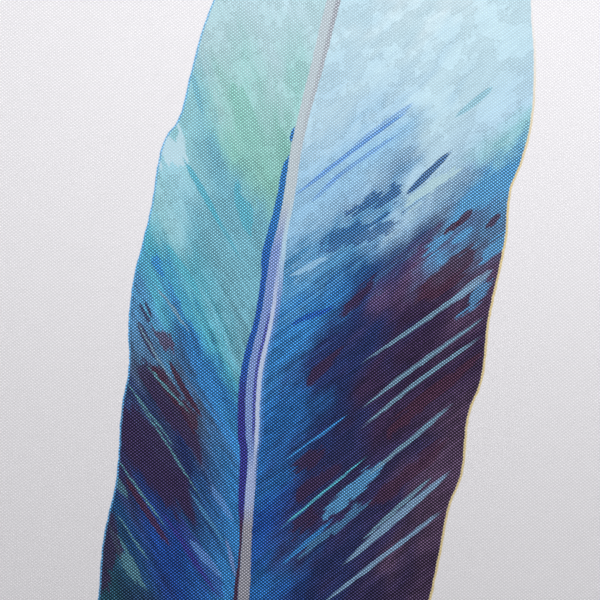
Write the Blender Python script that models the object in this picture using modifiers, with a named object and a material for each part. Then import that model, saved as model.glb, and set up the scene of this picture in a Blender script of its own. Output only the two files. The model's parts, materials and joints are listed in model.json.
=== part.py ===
"""A tabletop feather flag: a sail-shaped cloth on a three-section pole, on a spindle in a folding cross base.

Frame: metres, +Z up, origin on the floor under the pole's axis. The straight part of the pole stands along Z, and
the sail lies in the XZ plane on the +X side, with its front face towards -Y.
"""

import math

import bmesh
import bpy
from mathutils import Matrix, Vector

MM = 0.001
GAP = 0.3 * MM  # between faces that touch on the real object

# Hub: two round plates with the legs between them.
PLATE_T = 2.0 * MM
PLATE_MARGIN = 14.0 * MM  # of plate outside the circle of leg pivots
PIVOT_R = 2.0 * MM  # leg pivot bolt
PIVOT_HEAD_RIM = 1.8 * MM  # of its head past its shank
PIVOT_HEAD_H = 2.2 * MM
PIVOT_SPACING = 2.2 * MM  # between a pivot's head and the housing's flange
NUT_FLATS = 7.0 * MM
NUT_H = 2.2 * MM
FLOOR_CLEARANCE = 0.5 * MM  # under the nuts
STOP_R = 2.5 * MM  # post that a leg rests against when it is open
STOP_ALONG = 9.0 * MM  # from a leg's pivot out to its post
STOP_SPIGOT_R = 1.2 * MM

# Folding legs: four square steel tubes on upright pivots, pointing along +X, +Y, -X and -Y.
LEG_COUNT = 4
LEG_SIDE = 12.0 * MM
LEG_WALL = 1.2 * MM
LEG_REACH = 186.0 * MM  # from the pole's axis to the outer end of the leg's cap
LEG_INNER = 6.0 * MM  # leg left inside its pivot
LEG_FOOT_INSET = 12.0 * MM  # from the leg's end to its foot's axis
CAP_FLANGE = 2.0 * MM
CAP_EDGE = 0.5 * MM
FOOT_R = 7.0 * MM
FOOT_TOP_R = 6.0 * MM
FOOT_RIM_H = 1.2 * MM
FOOT_SINK = 2.0 * MM  # how deep the screw's head lies inside the rubber
FOOT_SCREW_PAST = 1.5 * MM  # of the screw inside the leg's tube

# Spindle housing, its two bushes and its flange screws.
HOUSING_TOP = 52.0 * MM
HOUSING_WALL = 3.7 * MM
FLANGE_RIM = 6.0 * MM
FLANGE_T = 3.0 * MM
SCREW_R = 1.5 * MM
SCREW_HEAD_R = 2.5 * MM
SCREW_HEAD_H = 1.8 * MM
BUSH_WALL = 1.7 * MM
BUSH_LENGTH = 12.0 * MM
BUSH_FLANGE_RIM = 3.0 * MM
BUSH_FLANGE_T = 1.4 * MM
SHOULDER_STEP = 1.1 * MM  # of the ledge that each bush seats on

# Spindle: the turning pin that the pole drops onto.
JOURNAL_R = 4.0 * MM
SPINDLE_RAISED = 4.0 * MM  # its lower end, above the bottom plate
SPINDLE_TAIL = 4.2 * MM  # below its circlip
SPINDLE_COLLAR_R = 8.0 * MM
SPINDLE_COLLAR_T = 3.0 * MM
SPINDLE_R = 3.2 * MM
SPINDLE_PIN = 93.0 * MM  # above its collar, inside the pole
SPINDLE_NOSE = 1.2 * MM
CIRCLIP_T = 1.0 * MM
CIRCLIP_RIM = 1.4 * MM  # of the clip past the journal
CIRCLIP_DEPTH = 0.8 * MM  # of its groove
CIRCLIP_MOUTH = math.radians(70)

# Pole: aluminium lower tube, fibreglass middle tube, solid tapering fibreglass tip.
TIP_R = 1.7 * MM
TIP_END_R = 1.1 * MM
MIDDLE_WALL = 1.2 * MM
MIDDLE_TOP = 480.0 * MM
LOWER_WALL = 1.25 * MM
LOWER_TOP = 300.0 * MM
PLUG_LENGTH = 30.0 * MM  # how far each section goes into the one below
COLLAR_H = 7.0 * MM
TIP_CAP_WALL = 1.0 * MM
TIP_CAP_LENGTH = 8.0 * MM

# The pole's bend: its heading turns from straight up to past level, tighter towards the thin end.
BEND_ABOVE = 40.0 * MM  # from the middle tube's top to the bend
BEND_LENGTH = 250.0 * MM
BEND_ANGLE = math.radians(110)
BEND_POWER = 1.15
BEND_STEPS = 22
STRAIGHT_END = 14.0 * MM  # of the pole, past its bend

# Cloth.
SLEEVE_EASE = 0.35 * MM  # between the pole and the sleeve
SLEEVE_WALL = 0.8 * MM
SLEEVE_RUNOUT = 2.0 * MM  # how far the sleeve goes on past the pole's bend
POCKET_OVERRUN = 5.0 * MM  # of the tip pocket, past the pole's end
SAIL_T = 0.8 * MM
SAIL_BOTTOM = 190.0 * MM
# The free edge from the tip down to the foot, as points that a smooth curve goes through. Each is its distance from
# the pole and its height above the foot, in shares of those of the sleeve's upper end.
FREE_EDGE = [
    (1.025, 0.908), (1.043, 0.777), (1.040, 0.613), (1.010, 0.438), (0.958, 0.267), (0.897, 0.149), (0.809, 0.090),
    (0.645, 0.051), (0.365, 0.021),
]
EDGE_STEPS = 4  # straight pieces between two of those points

# Tensioner: grommet, elastic loop, hook and a collar clamped on the lower tube.
GROMMET_OUT = 7.8 * MM  # from the sail's edge at the pole to the grommet's axis
GROMMET_UP = 11.5 * MM  # from the sail's foot to the grommet's axis
GROMMET_HOLE_R = 3.2 * MM
GROMMET_RIM = 2.8 * MM
GROMMET_WALL = 0.5 * MM
CORD_R = 1.0 * MM
LOOP_LIFT = 0.7 * MM  # of the cord off the grommet's lower edge
HOOK_BELOW = 24.0 * MM  # from the sail's foot down to the hook
HOOK_R = 1.6 * MM
HOOK_CLEARANCE = 0.4 * MM  # between the hook and the loop round it
HOOK_LIP = 1.6 * MM
HOOK_LIP_T = 1.5 * MM
HOOK_SPIGOT = 2.0 * MM
CLAMP_WALL = 3.45 * MM
CLAMP_H = 12.0 * MM
CLAMP_BOSS_R = 4.0 * MM
CLAMP_BOSS_LENGTH = 3.5 * MM
THUMB_SHANK_R = 1.5 * MM
THUMB_KNOB_R = 6.5 * MM
THUMB_KNOB_T = 5.0 * MM
THUMB_LOBES = 8
THUMB_LOBE_DEPTH = 0.7 * MM

# Radii and distances from the pole's axis that follow from the values above.
BUSH_BORE_R = JOURNAL_R + GAP
BUSH_R = BUSH_BORE_R + BUSH_WALL
BUSH_SEAT_R = BUSH_R + GAP
SHOULDER_R = BUSH_SEAT_R - SHOULDER_STEP  # bore between the two bushes
HOUSING_R = BUSH_SEAT_R + HOUSING_WALL
FLANGE_R = HOUSING_R + FLANGE_RIM
SCREW_CIRCLE_R = (HOUSING_R + FLANGE_R) / 2
PIVOT_HEAD_R = PIVOT_R + PIVOT_HEAD_RIM
LEG_PIVOT_R = FLANGE_R + PIVOT_SPACING + PIVOT_HEAD_R
PLATE_R = LEG_PIVOT_R + PLATE_MARGIN
MIDDLE_BORE_R = TIP_R + GAP
MIDDLE_R = MIDDLE_BORE_R + MIDDLE_WALL
LOWER_BORE_R = max(SPINDLE_R, MIDDLE_R) + GAP
LOWER_R = LOWER_BORE_R + LOWER_WALL
SLEEVE_BORE_R = LOWER_R + SLEEVE_EASE
SLEEVE_R = SLEEVE_BORE_R + SLEEVE_WALL
SAIL_OFFSET = SLEEVE_R + GAP
LOOP_X = SAIL_OFFSET + GROMMET_OUT
LOOP_HALF_WIDTH = HOOK_R + HOOK_CLEARANCE + CORD_R
CLAMP_BORE_R = LOWER_R + GAP
CLAMP_R = CLAMP_BORE_R + CLAMP_WALL
CLAMP_BOSS_END = CLAMP_R + CLAMP_BOSS_LENGTH
HOOK_START = CLAMP_R - HOOK_SPIGOT
HOOK_END = LOOP_X + 2 * CORD_R + HOOK_LIP_T

# Levels that follow.
LOWER_PLATE_BOTTOM = FLOOR_CLEARANCE + NUT_H + GAP
LOWER_PLATE_TOP = LOWER_PLATE_BOTTOM + PLATE_T
FOOT_HEIGHT = LOWER_PLATE_TOP
LEG_BOTTOM = LOWER_PLATE_TOP + GAP
LEG_TOP = LEG_BOTTOM + LEG_SIDE
LEG_MIDDLE = (LEG_BOTTOM + LEG_TOP) / 2
UPPER_PLATE_BOTTOM = LEG_TOP + GAP
UPPER_PLATE_TOP = UPPER_PLATE_BOTTOM + PLATE_T
FLANGE_BOTTOM = UPPER_PLATE_TOP + GAP
FLANGE_TOP = FLANGE_BOTTOM + FLANGE_T
SPINDLE_BOTTOM = LOWER_PLATE_TOP + SPINDLE_RAISED
CIRCLIP_BOTTOM = SPINDLE_BOTTOM + SPINDLE_TAIL
CIRCLIP_TOP = CIRCLIP_BOTTOM + CIRCLIP_T
LOWER_BUSH_BOTTOM = CIRCLIP_TOP + GAP
LOWER_BUSH_TOP = LOWER_BUSH_BOTTOM + BUSH_LENGTH
UPPER_BUSH_BOTTOM = HOUSING_TOP - BUSH_LENGTH
BUSH_FLANGE_BOTTOM = HOUSING_TOP + GAP
BUSH_FLANGE_TOP = BUSH_FLANGE_BOTTOM + BUSH_FLANGE_T
SPINDLE_COLLAR_BOTTOM = BUSH_FLANGE_TOP + GAP
SPINDLE_COLLAR_TOP = SPINDLE_COLLAR_BOTTOM + SPINDLE_COLLAR_T
SPINDLE_TOP = SPINDLE_COLLAR_TOP + SPINDLE_PIN
POLE_BOTTOM = SPINDLE_COLLAR_TOP + GAP
BEND_START = MIDDLE_TOP + BEND_ABOVE
HOOK_Z = SAIL_BOTTOM - HOOK_BELOW
GROMMET_Z = SAIL_BOTTOM + GROMMET_UP
LOOP_TOP = GROMMET_Z - GROMMET_HOLE_R + LOOP_LIFT + CORD_R - LOOP_HALF_WIDTH  # centre of its upper bend

TO_XZ = Matrix.Rotation(math.pi / 2, 4, "X")  # lays a flat outline, drawn in XY, up into the XZ plane
TO_Y = Matrix.Rotation(-math.pi / 2, 4, "X")  # turns a lathe axis from Z to Y
TO_X = Matrix.Rotation(math.pi / 2, 4, "Y")  # turns a lathe axis from Z to X


def material(name, color, roughness, metallic=0.0):
    made = bpy.data.materials.new(name)
    made.use_nodes = True
    shader = made.node_tree.nodes["Principled BSDF"]
    shader.inputs["Base Color"].default_value = (*color, 1.0)
    shader.inputs["Roughness"].default_value = roughness
    shader.inputs["Metallic"].default_value = metallic
    return made


def collection(name):
    made = bpy.data.collections.new(name)
    bpy.context.scene.collection.children.link(made)
    return made


def place(obj, group, finish=None, matrix=None, parent=None):
    """Links an object, gives it its finish, and sets its place, which is relative to its parent if it has one."""
    group.objects.link(obj)
    if finish is not None:
        obj.data.materials.clear()
        obj.data.materials.append(finish)
    if parent is not None:
        obj.parent = parent
    obj.matrix_local = matrix if matrix is not None else Matrix.Identity(4)
    return obj


def settled(obj):
    """A new mesh object of what obj's curve or modifiers make, welded and shaded round, not yet linked."""
    name = obj.name
    bpy.context.scene.collection.objects.link(obj)
    mesh = bpy.data.meshes.new_from_object(obj.evaluated_get(bpy.context.evaluated_depsgraph_get()))
    bpy.data.objects.remove(obj)
    shape = bmesh.new()
    shape.from_mesh(mesh)
    bmesh.ops.remove_doubles(shape, verts=shape.verts, dist=0.001 * MM)
    shape.to_mesh(mesh)
    shape.free()
    mesh.shade_smooth()
    mesh.set_sharp_from_angle(angle=math.radians(35))
    return bpy.data.objects.new(name, mesh)


def turned(name, profile, steps=20, closed=False):
    """A lathe-turned piece about Z, from (radius, height) points that run down its outer side, top to bottom."""
    mesh = bpy.data.meshes.new(name)
    edges = [(i, i + 1) for i in range(len(profile) - 1)]
    if closed:
        edges.append((len(profile) - 1, 0))
    mesh.from_pydata([(r, 0.0, z) for r, z in profile], edges, [])
    obj = bpy.data.objects.new(name, mesh)
    screw = obj.modifiers.new("Lathe", "SCREW")
    screw.steps = screw.render_steps = steps
    screw.use_merge_vertices = True
    screw.merge_threshold = 0.001 * MM
    return settled(obj)


def turned_ring(name, bore_r, outer_r, bottom, top, steps=20):
    profile = [(outer_r, top), (outer_r, bottom), (bore_r, bottom), (bore_r, top)]
    return turned(name, profile, steps, closed=True)


def rod_profile(radius, bottom, top):
    return [(0.0, top), (radius, top), (radius, bottom), (0.0, bottom)]


def domed_screw_profile(shank_r, head_r, head_h, bottom, seat):
    """A screw that stands on its seat, with a domed head above it and its shank going down to bottom."""
    crown_r, shoulder = 0.62 * head_r, seat + 0.45 * head_h
    return [
        (0.0, seat + head_h), (crown_r, seat + head_h), (head_r, shoulder), (head_r, seat), (shank_r, seat),
        (shank_r, bottom), (0.0, bottom),
    ]


def box(name, low, high):
    mesh = bpy.data.meshes.new(name)
    shape = bmesh.new()
    bmesh.ops.create_cube(shape, size=1.0)
    size = Vector(high) - Vector(low)
    centre = (Vector(high) + Vector(low)) / 2
    bmesh.ops.transform(shape, matrix=Matrix.Translation(centre) @ Matrix.Diagonal((*size, 1.0)), verts=shape.verts)
    shape.to_mesh(mesh)
    shape.free()
    return bpy.data.objects.new(name, mesh)


def upright_prisms(name, prisms, segments=12):
    """One mesh of separate upright prisms or cylinders, each (x, y, radius, bottom, top)."""
    mesh = bpy.data.meshes.new(name)
    shape = bmesh.new()
    for x, y, radius, bottom, top in prisms:
        at = Matrix.Translation((x, y, (bottom + top) / 2))
        bmesh.ops.create_cone(
            shape, cap_ends=True, segments=segments, radius1=radius, radius2=radius, depth=top - bottom, matrix=at
        )
    shape.to_mesh(mesh)
    shape.free()
    return bpy.data.objects.new(name, mesh)


def combine(obj, other, cutters, operation="DIFFERENCE", matrix=None, parent=None):
    """Cuts the other shape out of obj, or joins it on. The other shape takes its place like any piece."""
    place(other, cutters, matrix=matrix, parent=parent)
    other.hide_render = True
    other.display_type = "WIRE"
    boolean = obj.modifiers.new(other.name, "BOOLEAN")
    boolean.operation = operation
    boolean.solver = "EXACT"
    boolean.object = other


def poly_curve(name, splines, cyclic, radii=None, flat=False):
    """A curve of straight pieces through the given points, with one spline for each list of them."""
    curve = bpy.data.curves.new(name, "CURVE")
    curve.dimensions = "2D" if flat else "3D"
    for points in splines:
        spline = curve.splines.new("POLY")
        spline.points.add(len(points) - 1)
        for i, (point, where) in enumerate(zip(spline.points, points)):
            point.co = (*where, 1.0)
            point.radius = radii[i] if radii else 1.0
        spline.use_cyclic_u = cyclic
    return bpy.data.objects.new(name, curve)


def rod_curve(name, points, radius, cyclic=False, radii=None, resolution=2):
    rod = poly_curve(name, [points], cyclic, radii)
    rod.data.bevel_depth = radius
    rod.data.bevel_resolution = resolution
    rod.data.use_fill_caps = not cyclic
    return rod


def flat_plate(name, outlines, thickness):
    """A flat piece in XY, half its thickness each side. The first outline is its edge and the others are holes."""
    obj = poly_curve(name, [[(x, y, 0.0) for x, y in outline] for outline in outlines], cyclic=True, flat=True)
    obj.data.fill_mode = "BOTH"
    obj.data.extrude = thickness / 2
    return obj


def arc(centre, radius, start, end, steps):
    """Points along part of a circle, both ends included, with angles in radians."""
    angles = [start + (end - start) * i / steps for i in range(steps + 1)]
    return [(centre[0] + radius * math.cos(a), centre[1] + radius * math.sin(a)) for a in angles]


def circle(centre, radius, steps):
    return arc(centre, radius, 0.0, 2 * math.pi, steps)[:-1]


def smooth_through(points, steps):
    """A Catmull-Rom curve through (x, y) points, with the first and last points included."""
    ends = [points[0], *points, points[-1]]
    found = []
    for i in range(1, len(ends) - 2):
        a, b, c, d = (Vector(p) for p in ends[i - 1 : i + 3])
        for k in range(steps):
            t = k / steps
            bend = (2 * a - 5 * b + 4 * c - d) * t**2 + (3 * b - a - 3 * c + d) * t**3
            found.append(tuple(b + ((c - a) * t + bend) / 2))
    found.append(tuple(points[-1]))
    return found


def pole_line(runout=0.0):
    """The bent part of the pole's axis in the XZ plane, as (x, z, heading) with heading 0 being up.

    A last point lies runout further on, along the straight end.
    """
    x, z = 0.0, BEND_START
    step = BEND_LENGTH / BEND_STEPS
    line = [(x, z, 0.0)]
    for i in range(BEND_STEPS):
        middle = BEND_ANGLE * ((i + 0.5) / BEND_STEPS) ** BEND_POWER
        x += math.sin(middle) * step
        z += math.cos(middle) * step
        line.append((x, z, BEND_ANGLE * ((i + 1) / BEND_STEPS) ** BEND_POWER))
    if runout:
        line.append((x + math.sin(BEND_ANGLE) * runout, z + math.cos(BEND_ANGLE) * runout, BEND_ANGLE))
    return line


def leg_angle(i):
    return 2 * math.pi * i / LEG_COUNT


def around_hub(radius, offset=0.0):
    """The places of the hub's repeated pieces, on a circle about the pole's axis, with one for each leg."""
    angles = [leg_angle(i) + offset for i in range(LEG_COUNT)]
    return [(radius * math.cos(a), radius * math.sin(a)) for a in angles]


def stop_places():
    """Each post stands against one side of its open leg: legs 1 and 3 fold the other way from legs 2 and 4."""
    aside = LEG_SIDE / 2 + GAP + STOP_R
    places = []
    for i in range(LEG_COUNT):
        side = -1 if i % 2 == 0 else 1
        out = Vector((LEG_PIVOT_R + STOP_ALONG, side * aside))
        places.append(tuple(Matrix.Rotation(leg_angle(i), 2) @ out))
    return places


def build_hub(group, cutters, steel, zinc):
    pivots = [circle(at, PIVOT_R + GAP, 12) for at in around_hub(LEG_PIVOT_R)]
    spigots = [circle(at, STOP_SPIGOT_R + GAP, 8) for at in stop_places()]
    screws = [circle(at, SCREW_R + GAP, 8) for at in around_hub(SCREW_CIRCLE_R, math.pi / 4)]
    edge = circle((0.0, 0.0), PLATE_R, 40)
    middle = circle((0.0, 0.0), HOUSING_R + GAP, 24)
    lower = flat_plate("hub_bottom_plate", [edge, *pivots, *spigots], PLATE_T)
    place(lower, group, steel, Matrix.Translation((0.0, 0.0, LOWER_PLATE_TOP - PLATE_T / 2)))
    upper = flat_plate("hub_top_plate", [edge, middle, *pivots, *spigots, *screws], PLATE_T)
    place(upper, group, steel, Matrix.Translation((0.0, 0.0, UPPER_PLATE_BOTTOM + PLATE_T / 2)))

    for i, (x, y) in enumerate(around_hub(LEG_PIVOT_R)):
        at = Matrix.Translation((x, y, 0.0))
        profile = domed_screw_profile(PIVOT_R, PIVOT_HEAD_R, PIVOT_HEAD_H, FLOOR_CLEARANCE, UPPER_PLATE_TOP + GAP)
        place(turned(f"leg_pivot_bolt_{i + 1}", profile, 16), group, zinc, at)
        corner_r = NUT_FLATS / 2 / math.cos(math.pi / 6)
        hexagon = [(0.0, 0.0, corner_r, FLOOR_CLEARANCE, FLOOR_CLEARANCE + NUT_H)]
        nut = upright_prisms(f"leg_pivot_nut_{i + 1}", hexagon, segments=6)
        place(nut, group, zinc, at)
        hole = [(0.0, 0.0, PIVOT_R + GAP, -NUT_H, LEG_BOTTOM)]
        combine(nut, upright_prisms(f"cut_nut_{i + 1}", hole), cutters, matrix=at)

    for i, (x, y) in enumerate(stop_places()):
        low, high = LOWER_PLATE_TOP + GAP, UPPER_PLATE_BOTTOM - GAP
        profile = [
            (0.0, UPPER_PLATE_TOP), (STOP_SPIGOT_R, UPPER_PLATE_TOP), (STOP_SPIGOT_R, high), (STOP_R, high),
            (STOP_R, low), (STOP_SPIGOT_R, low), (STOP_SPIGOT_R, LOWER_PLATE_BOTTOM), (0.0, LOWER_PLATE_BOTTOM),
        ]
        place(turned(f"leg_stop_{i + 1}", profile, 12), group, zinc, Matrix.Translation((x, y, 0.0)))


def build_housing(group, cutters, steel, zinc, acetal):
    bottom = LOWER_PLATE_TOP + GAP
    profile = [
        (HOUSING_R, HOUSING_TOP), (HOUSING_R, FLANGE_TOP), (FLANGE_R, FLANGE_TOP), (FLANGE_R, FLANGE_BOTTOM),
        (HOUSING_R, FLANGE_BOTTOM), (HOUSING_R, bottom), (BUSH_SEAT_R, bottom),
        (BUSH_SEAT_R, LOWER_BUSH_TOP + GAP), (SHOULDER_R, LOWER_BUSH_TOP + GAP),
        (SHOULDER_R, UPPER_BUSH_BOTTOM - GAP), (BUSH_SEAT_R, UPPER_BUSH_BOTTOM - GAP), (BUSH_SEAT_R, HOUSING_TOP),
    ]
    housing = turned("spindle_housing", profile, 24, closed=True)
    place(housing, group, steel)
    screw_places = around_hub(SCREW_CIRCLE_R, math.pi / 4)
    holes = [(x, y, SCREW_R + GAP, UPPER_PLATE_TOP, FLANGE_TOP + PLATE_T) for x, y in screw_places]
    combine(housing, upright_prisms("cut_flange_screws", holes, segments=8), cutters)

    for i, (x, y) in enumerate(screw_places):
        end = UPPER_PLATE_BOTTOM + GAP
        profile = domed_screw_profile(SCREW_R, SCREW_HEAD_R, SCREW_HEAD_H, end, FLANGE_TOP + GAP)
        place(turned(f"housing_screw_{i + 1}", profile, 12), group, zinc, Matrix.Translation((x, y, 0.0)))

    flange_r = BUSH_R + BUSH_FLANGE_RIM
    upper = [
        (flange_r, BUSH_FLANGE_TOP), (flange_r, BUSH_FLANGE_BOTTOM), (BUSH_R, BUSH_FLANGE_BOTTOM),
        (BUSH_R, UPPER_BUSH_BOTTOM), (BUSH_BORE_R, UPPER_BUSH_BOTTOM), (BUSH_BORE_R, BUSH_FLANGE_TOP),
    ]
    place(turned("upper_bush", upper, 24, closed=True), group, acetal)
    lower = turned_ring("lower_bush", BUSH_BORE_R, BUSH_R, LOWER_BUSH_BOTTOM, LOWER_BUSH_TOP, 24)
    place(lower, group, acetal)


def build_leg(i, group, cutters, powder, plastic, rubber, zinc):
    """One leg, drawn along +X from its pivot, on an empty that stands on the pivot's axis."""
    pivot = bpy.data.objects.new(f"leg_pivot_{i + 1}", None)
    group.objects.link(pivot)
    x, y = around_hub(LEG_PIVOT_R)[i]
    pivot.matrix_local = Matrix.Translation((x, y, 0.0)) @ Matrix.Rotation(leg_angle(i), 4, "Z")
    half = LEG_SIDE / 2
    inner = half - LEG_WALL
    leg_end = LEG_REACH - LEG_PIVOT_R
    tube_end = leg_end - CAP_FLANGE - GAP
    foot_x = leg_end - LEG_FOOT_INSET
    at_foot = Matrix.Translation((foot_x, 0.0, 0.0))

    tube = box(f"leg_tube_{i + 1}", (-LEG_INNER, -half, LEG_BOTTOM), (tube_end, half, LEG_TOP))
    place(tube, group, powder, parent=pivot)
    low, high = LEG_MIDDLE - inner, LEG_MIDDLE + inner
    hollow = box(f"cut_leg_hollow_{i + 1}", (-2 * LEG_INNER, -inner, low), (2 * tube_end, inner, high))
    combine(tube, hollow, cutters, parent=pivot)
    holes = [
        (0.0, 0.0, PIVOT_R + GAP, 0.0, LEG_TOP + LEG_SIDE),
        (foot_x, 0.0, SCREW_R + GAP, 0.0, LEG_MIDDLE),
    ]
    combine(tube, upright_prisms(f"cut_leg_holes_{i + 1}", holes), cutters, parent=pivot)

    cap = box(f"leg_end_cap_{i + 1}", (tube_end + GAP, -half, LEG_BOTTOM), (leg_end, half, LEG_TOP))
    place(cap, group, plastic, parent=pivot)
    plug_start = foot_x + SCREW_R + 2 * GAP
    low, high = low + GAP, high - GAP
    side = inner - GAP
    plug = box(f"join_cap_plug_{i + 1}", (plug_start, -side, low), (leg_end - CAP_EDGE, side, high))
    combine(cap, plug, cutters, "UNION", parent=pivot)
    soften = cap.modifiers.new("Rounded edges", "BEVEL")
    soften.width = CAP_EDGE
    soften.segments = 1
    soften.limit_method = "ANGLE"

    head_seat = FOOT_SINK + SCREW_HEAD_H
    foot_profile = [
        (FOOT_TOP_R, FOOT_HEIGHT), (FOOT_R, FOOT_RIM_H), (FOOT_R, 0.0), (SCREW_HEAD_R + GAP, 0.0),
        (SCREW_HEAD_R + GAP, head_seat), (SCREW_R + GAP, head_seat), (SCREW_R + GAP, FOOT_HEIGHT),
    ]
    place(turned(f"leg_foot_{i + 1}", foot_profile, 20, closed=True), group, rubber, at_foot, pivot)
    screw_top = LEG_BOTTOM + LEG_WALL + FOOT_SCREW_PAST
    foot_screw = [
        (0.0, screw_top), (SCREW_R, screw_top), (SCREW_R, head_seat - GAP), (SCREW_HEAD_R, head_seat - GAP),
        (SCREW_HEAD_R, FOOT_SINK - GAP), (0.0, FOOT_SINK - GAP),
    ]
    place(turned(f"foot_screw_{i + 1}", foot_screw, 12), group, zinc, at_foot, pivot)


def build_spindle(group, zinc):
    groove_r = JOURNAL_R - CIRCLIP_DEPTH
    groove_top, groove_bottom = CIRCLIP_TOP + GAP, CIRCLIP_BOTTOM - GAP
    profile = [
        (0.0, SPINDLE_TOP), (SPINDLE_R - SPINDLE_NOSE, SPINDLE_TOP), (SPINDLE_R, SPINDLE_TOP - SPINDLE_NOSE),
        (SPINDLE_R, SPINDLE_COLLAR_TOP), (SPINDLE_COLLAR_R, SPINDLE_COLLAR_TOP),
        (SPINDLE_COLLAR_R, SPINDLE_COLLAR_BOTTOM), (JOURNAL_R, SPINDLE_COLLAR_BOTTOM), (JOURNAL_R, groove_top),
        (groove_r, groove_top), (groove_r, groove_bottom), (JOURNAL_R, groove_bottom), (JOURNAL_R, SPINDLE_BOTTOM),
        (0.0, SPINDLE_BOTTOM),
    ]
    place(turned("spindle", profile, 24), group, zinc)

    mouth, half_open = math.pi / 2, CIRCLIP_MOUTH / 2
    start, end = mouth + half_open, mouth + 2 * math.pi - half_open
    outer = arc((0.0, 0.0), JOURNAL_R + CIRCLIP_RIM, start, end, 20)
    inner = arc((0.0, 0.0), groove_r + GAP, end, start, 20)
    clip = flat_plate("spindle_circlip", [outer + inner], CIRCLIP_T)
    place(clip, group, zinc, Matrix.Translation((0.0, 0.0, (CIRCLIP_TOP + CIRCLIP_BOTTOM) / 2)))


def build_pole(group, aluminium, fibreglass, plastic, rubber):
    place(turned_ring("pole_lower", LOWER_BORE_R, LOWER_R, POLE_BOTTOM, LOWER_TOP, 20), group, aluminium)
    middle = turned_ring("pole_middle", MIDDLE_BORE_R, MIDDLE_R, LOWER_TOP - PLUG_LENGTH, MIDDLE_TOP, 16)
    place(middle, group, fibreglass)
    for name, bore_r, outer_r, seat in (
        ("middle_collar", MIDDLE_R + GAP, LOWER_R, LOWER_TOP + GAP),
        ("tip_collar", TIP_R + GAP, MIDDLE_R, MIDDLE_TOP + GAP),
    ):
        place(turned_ring(name, bore_r, outer_r, seat, seat + COLLAR_H, 16), group, plastic)

    line = pole_line(STRAIGHT_END)
    points = [(0.0, 0.0, MIDDLE_TOP - PLUG_LENGTH), *((x, 0.0, z) for x, z, _ in line)]
    narrowing = 1.0 - TIP_END_R / TIP_R
    taper = [1.0] + [1.0 - narrowing * min(i / BEND_STEPS, 1.0) for i in range(len(line))]
    place(rod_curve("pole_tip", points, TIP_R, radii=taper), group, fibreglass)

    seat_r = TIP_END_R + GAP
    cap_r = seat_r + TIP_CAP_WALL
    cap = [
        (0.0, cap_r), (0.7 * cap_r, 0.7 * cap_r), (cap_r, 0.0), (cap_r, cap_r - TIP_CAP_LENGTH),
        (seat_r, cap_r - TIP_CAP_LENGTH), (seat_r, GAP), (0.0, GAP),
    ]
    place(turned("tip_cap", cap, 16), group, rubber, at_pole_end())


def at_pole_end():
    """The frame whose Z runs out of the pole's tip, with its origin on the tip."""
    x, z, heading = pole_line(STRAIGHT_END)[-1]
    return Matrix.Translation((x, 0.0, z)) @ Matrix.Rotation(heading, 4, "Y")


def build_sleeve(group, cloth, pocket_cloth):
    """The tube of cloth round the pole, from the sail's foot to past the bend, and the pocket on the pole's end."""
    points = [(0.0, 0.0, SAIL_BOTTOM), *((x, 0.0, z) for x, z, _ in pole_line(SLEEVE_RUNOUT))]
    skin = rod_curve("pole_sleeve", points, SLEEVE_R, resolution=4)
    skin.data.use_fill_caps = False
    sleeve = settled(skin)
    wall = sleeve.modifiers.new("Cloth wall", "SOLIDIFY")
    wall.thickness = SLEEVE_WALL
    wall.offset = -1.0
    place(sleeve, group, cloth)

    foot = SLEEVE_RUNOUT + GAP - STRAIGHT_END
    inner_top = POCKET_OVERRUN - SLEEVE_WALL
    profile = [
        (0.0, POCKET_OVERRUN), (0.6 * SLEEVE_R, 0.85 * POCKET_OVERRUN), (SLEEVE_R, 0.25 * POCKET_OVERRUN),
        (SLEEVE_R, foot), (SLEEVE_BORE_R, foot), (SLEEVE_BORE_R, 0.1 * inner_top), (0.5 * SLEEVE_BORE_R, inner_top),
        (0.0, inner_top),
    ]
    place(turned("tip_pocket", profile, 16), group, pocket_cloth, at_pole_end())


def sail_outline():
    """The sail's edge in XZ: up beside the sleeve, round inside its bend, then down the free edge to the foot."""
    luff = [(SAIL_OFFSET, SAIL_BOTTOM)]
    for x, z, a in pole_line(SLEEVE_RUNOUT):
        luff.append((x + SAIL_OFFSET * math.cos(a), z - SAIL_OFFSET * math.sin(a)))
    width, top = luff[-1]
    free = [(width * x, SAIL_BOTTOM + (top - SAIL_BOTTOM) * z) for x, z in FREE_EDGE]
    return luff + smooth_through([luff[-1], *free, luff[0]], EDGE_STEPS)[1:-1]


def build_sail(group, cloth, plated):
    barrel_r = GROMMET_HOLE_R + GROMMET_WALL
    hole = circle((LOOP_X, GROMMET_Z), barrel_r + GAP, 16)
    place(flat_plate("sail", [sail_outline(), hole], SAIL_T), group, cloth, TO_XZ)

    rim_r = GROMMET_HOLE_R + GROMMET_RIM
    face = SAIL_T / 2 + GAP
    rim = face + GROMMET_WALL
    profile = [
        (GROMMET_HOLE_R, rim), (rim_r, rim), (rim_r, face), (barrel_r, face), (barrel_r, -face), (rim_r, -face),
        (rim_r, -rim), (GROMMET_HOLE_R, -rim),
    ]
    at = Matrix.Translation((LOOP_X, 0.0, GROMMET_Z)) @ TO_Y
    place(turned("grommet", profile, 16, closed=True), group, plated, at)


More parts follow.
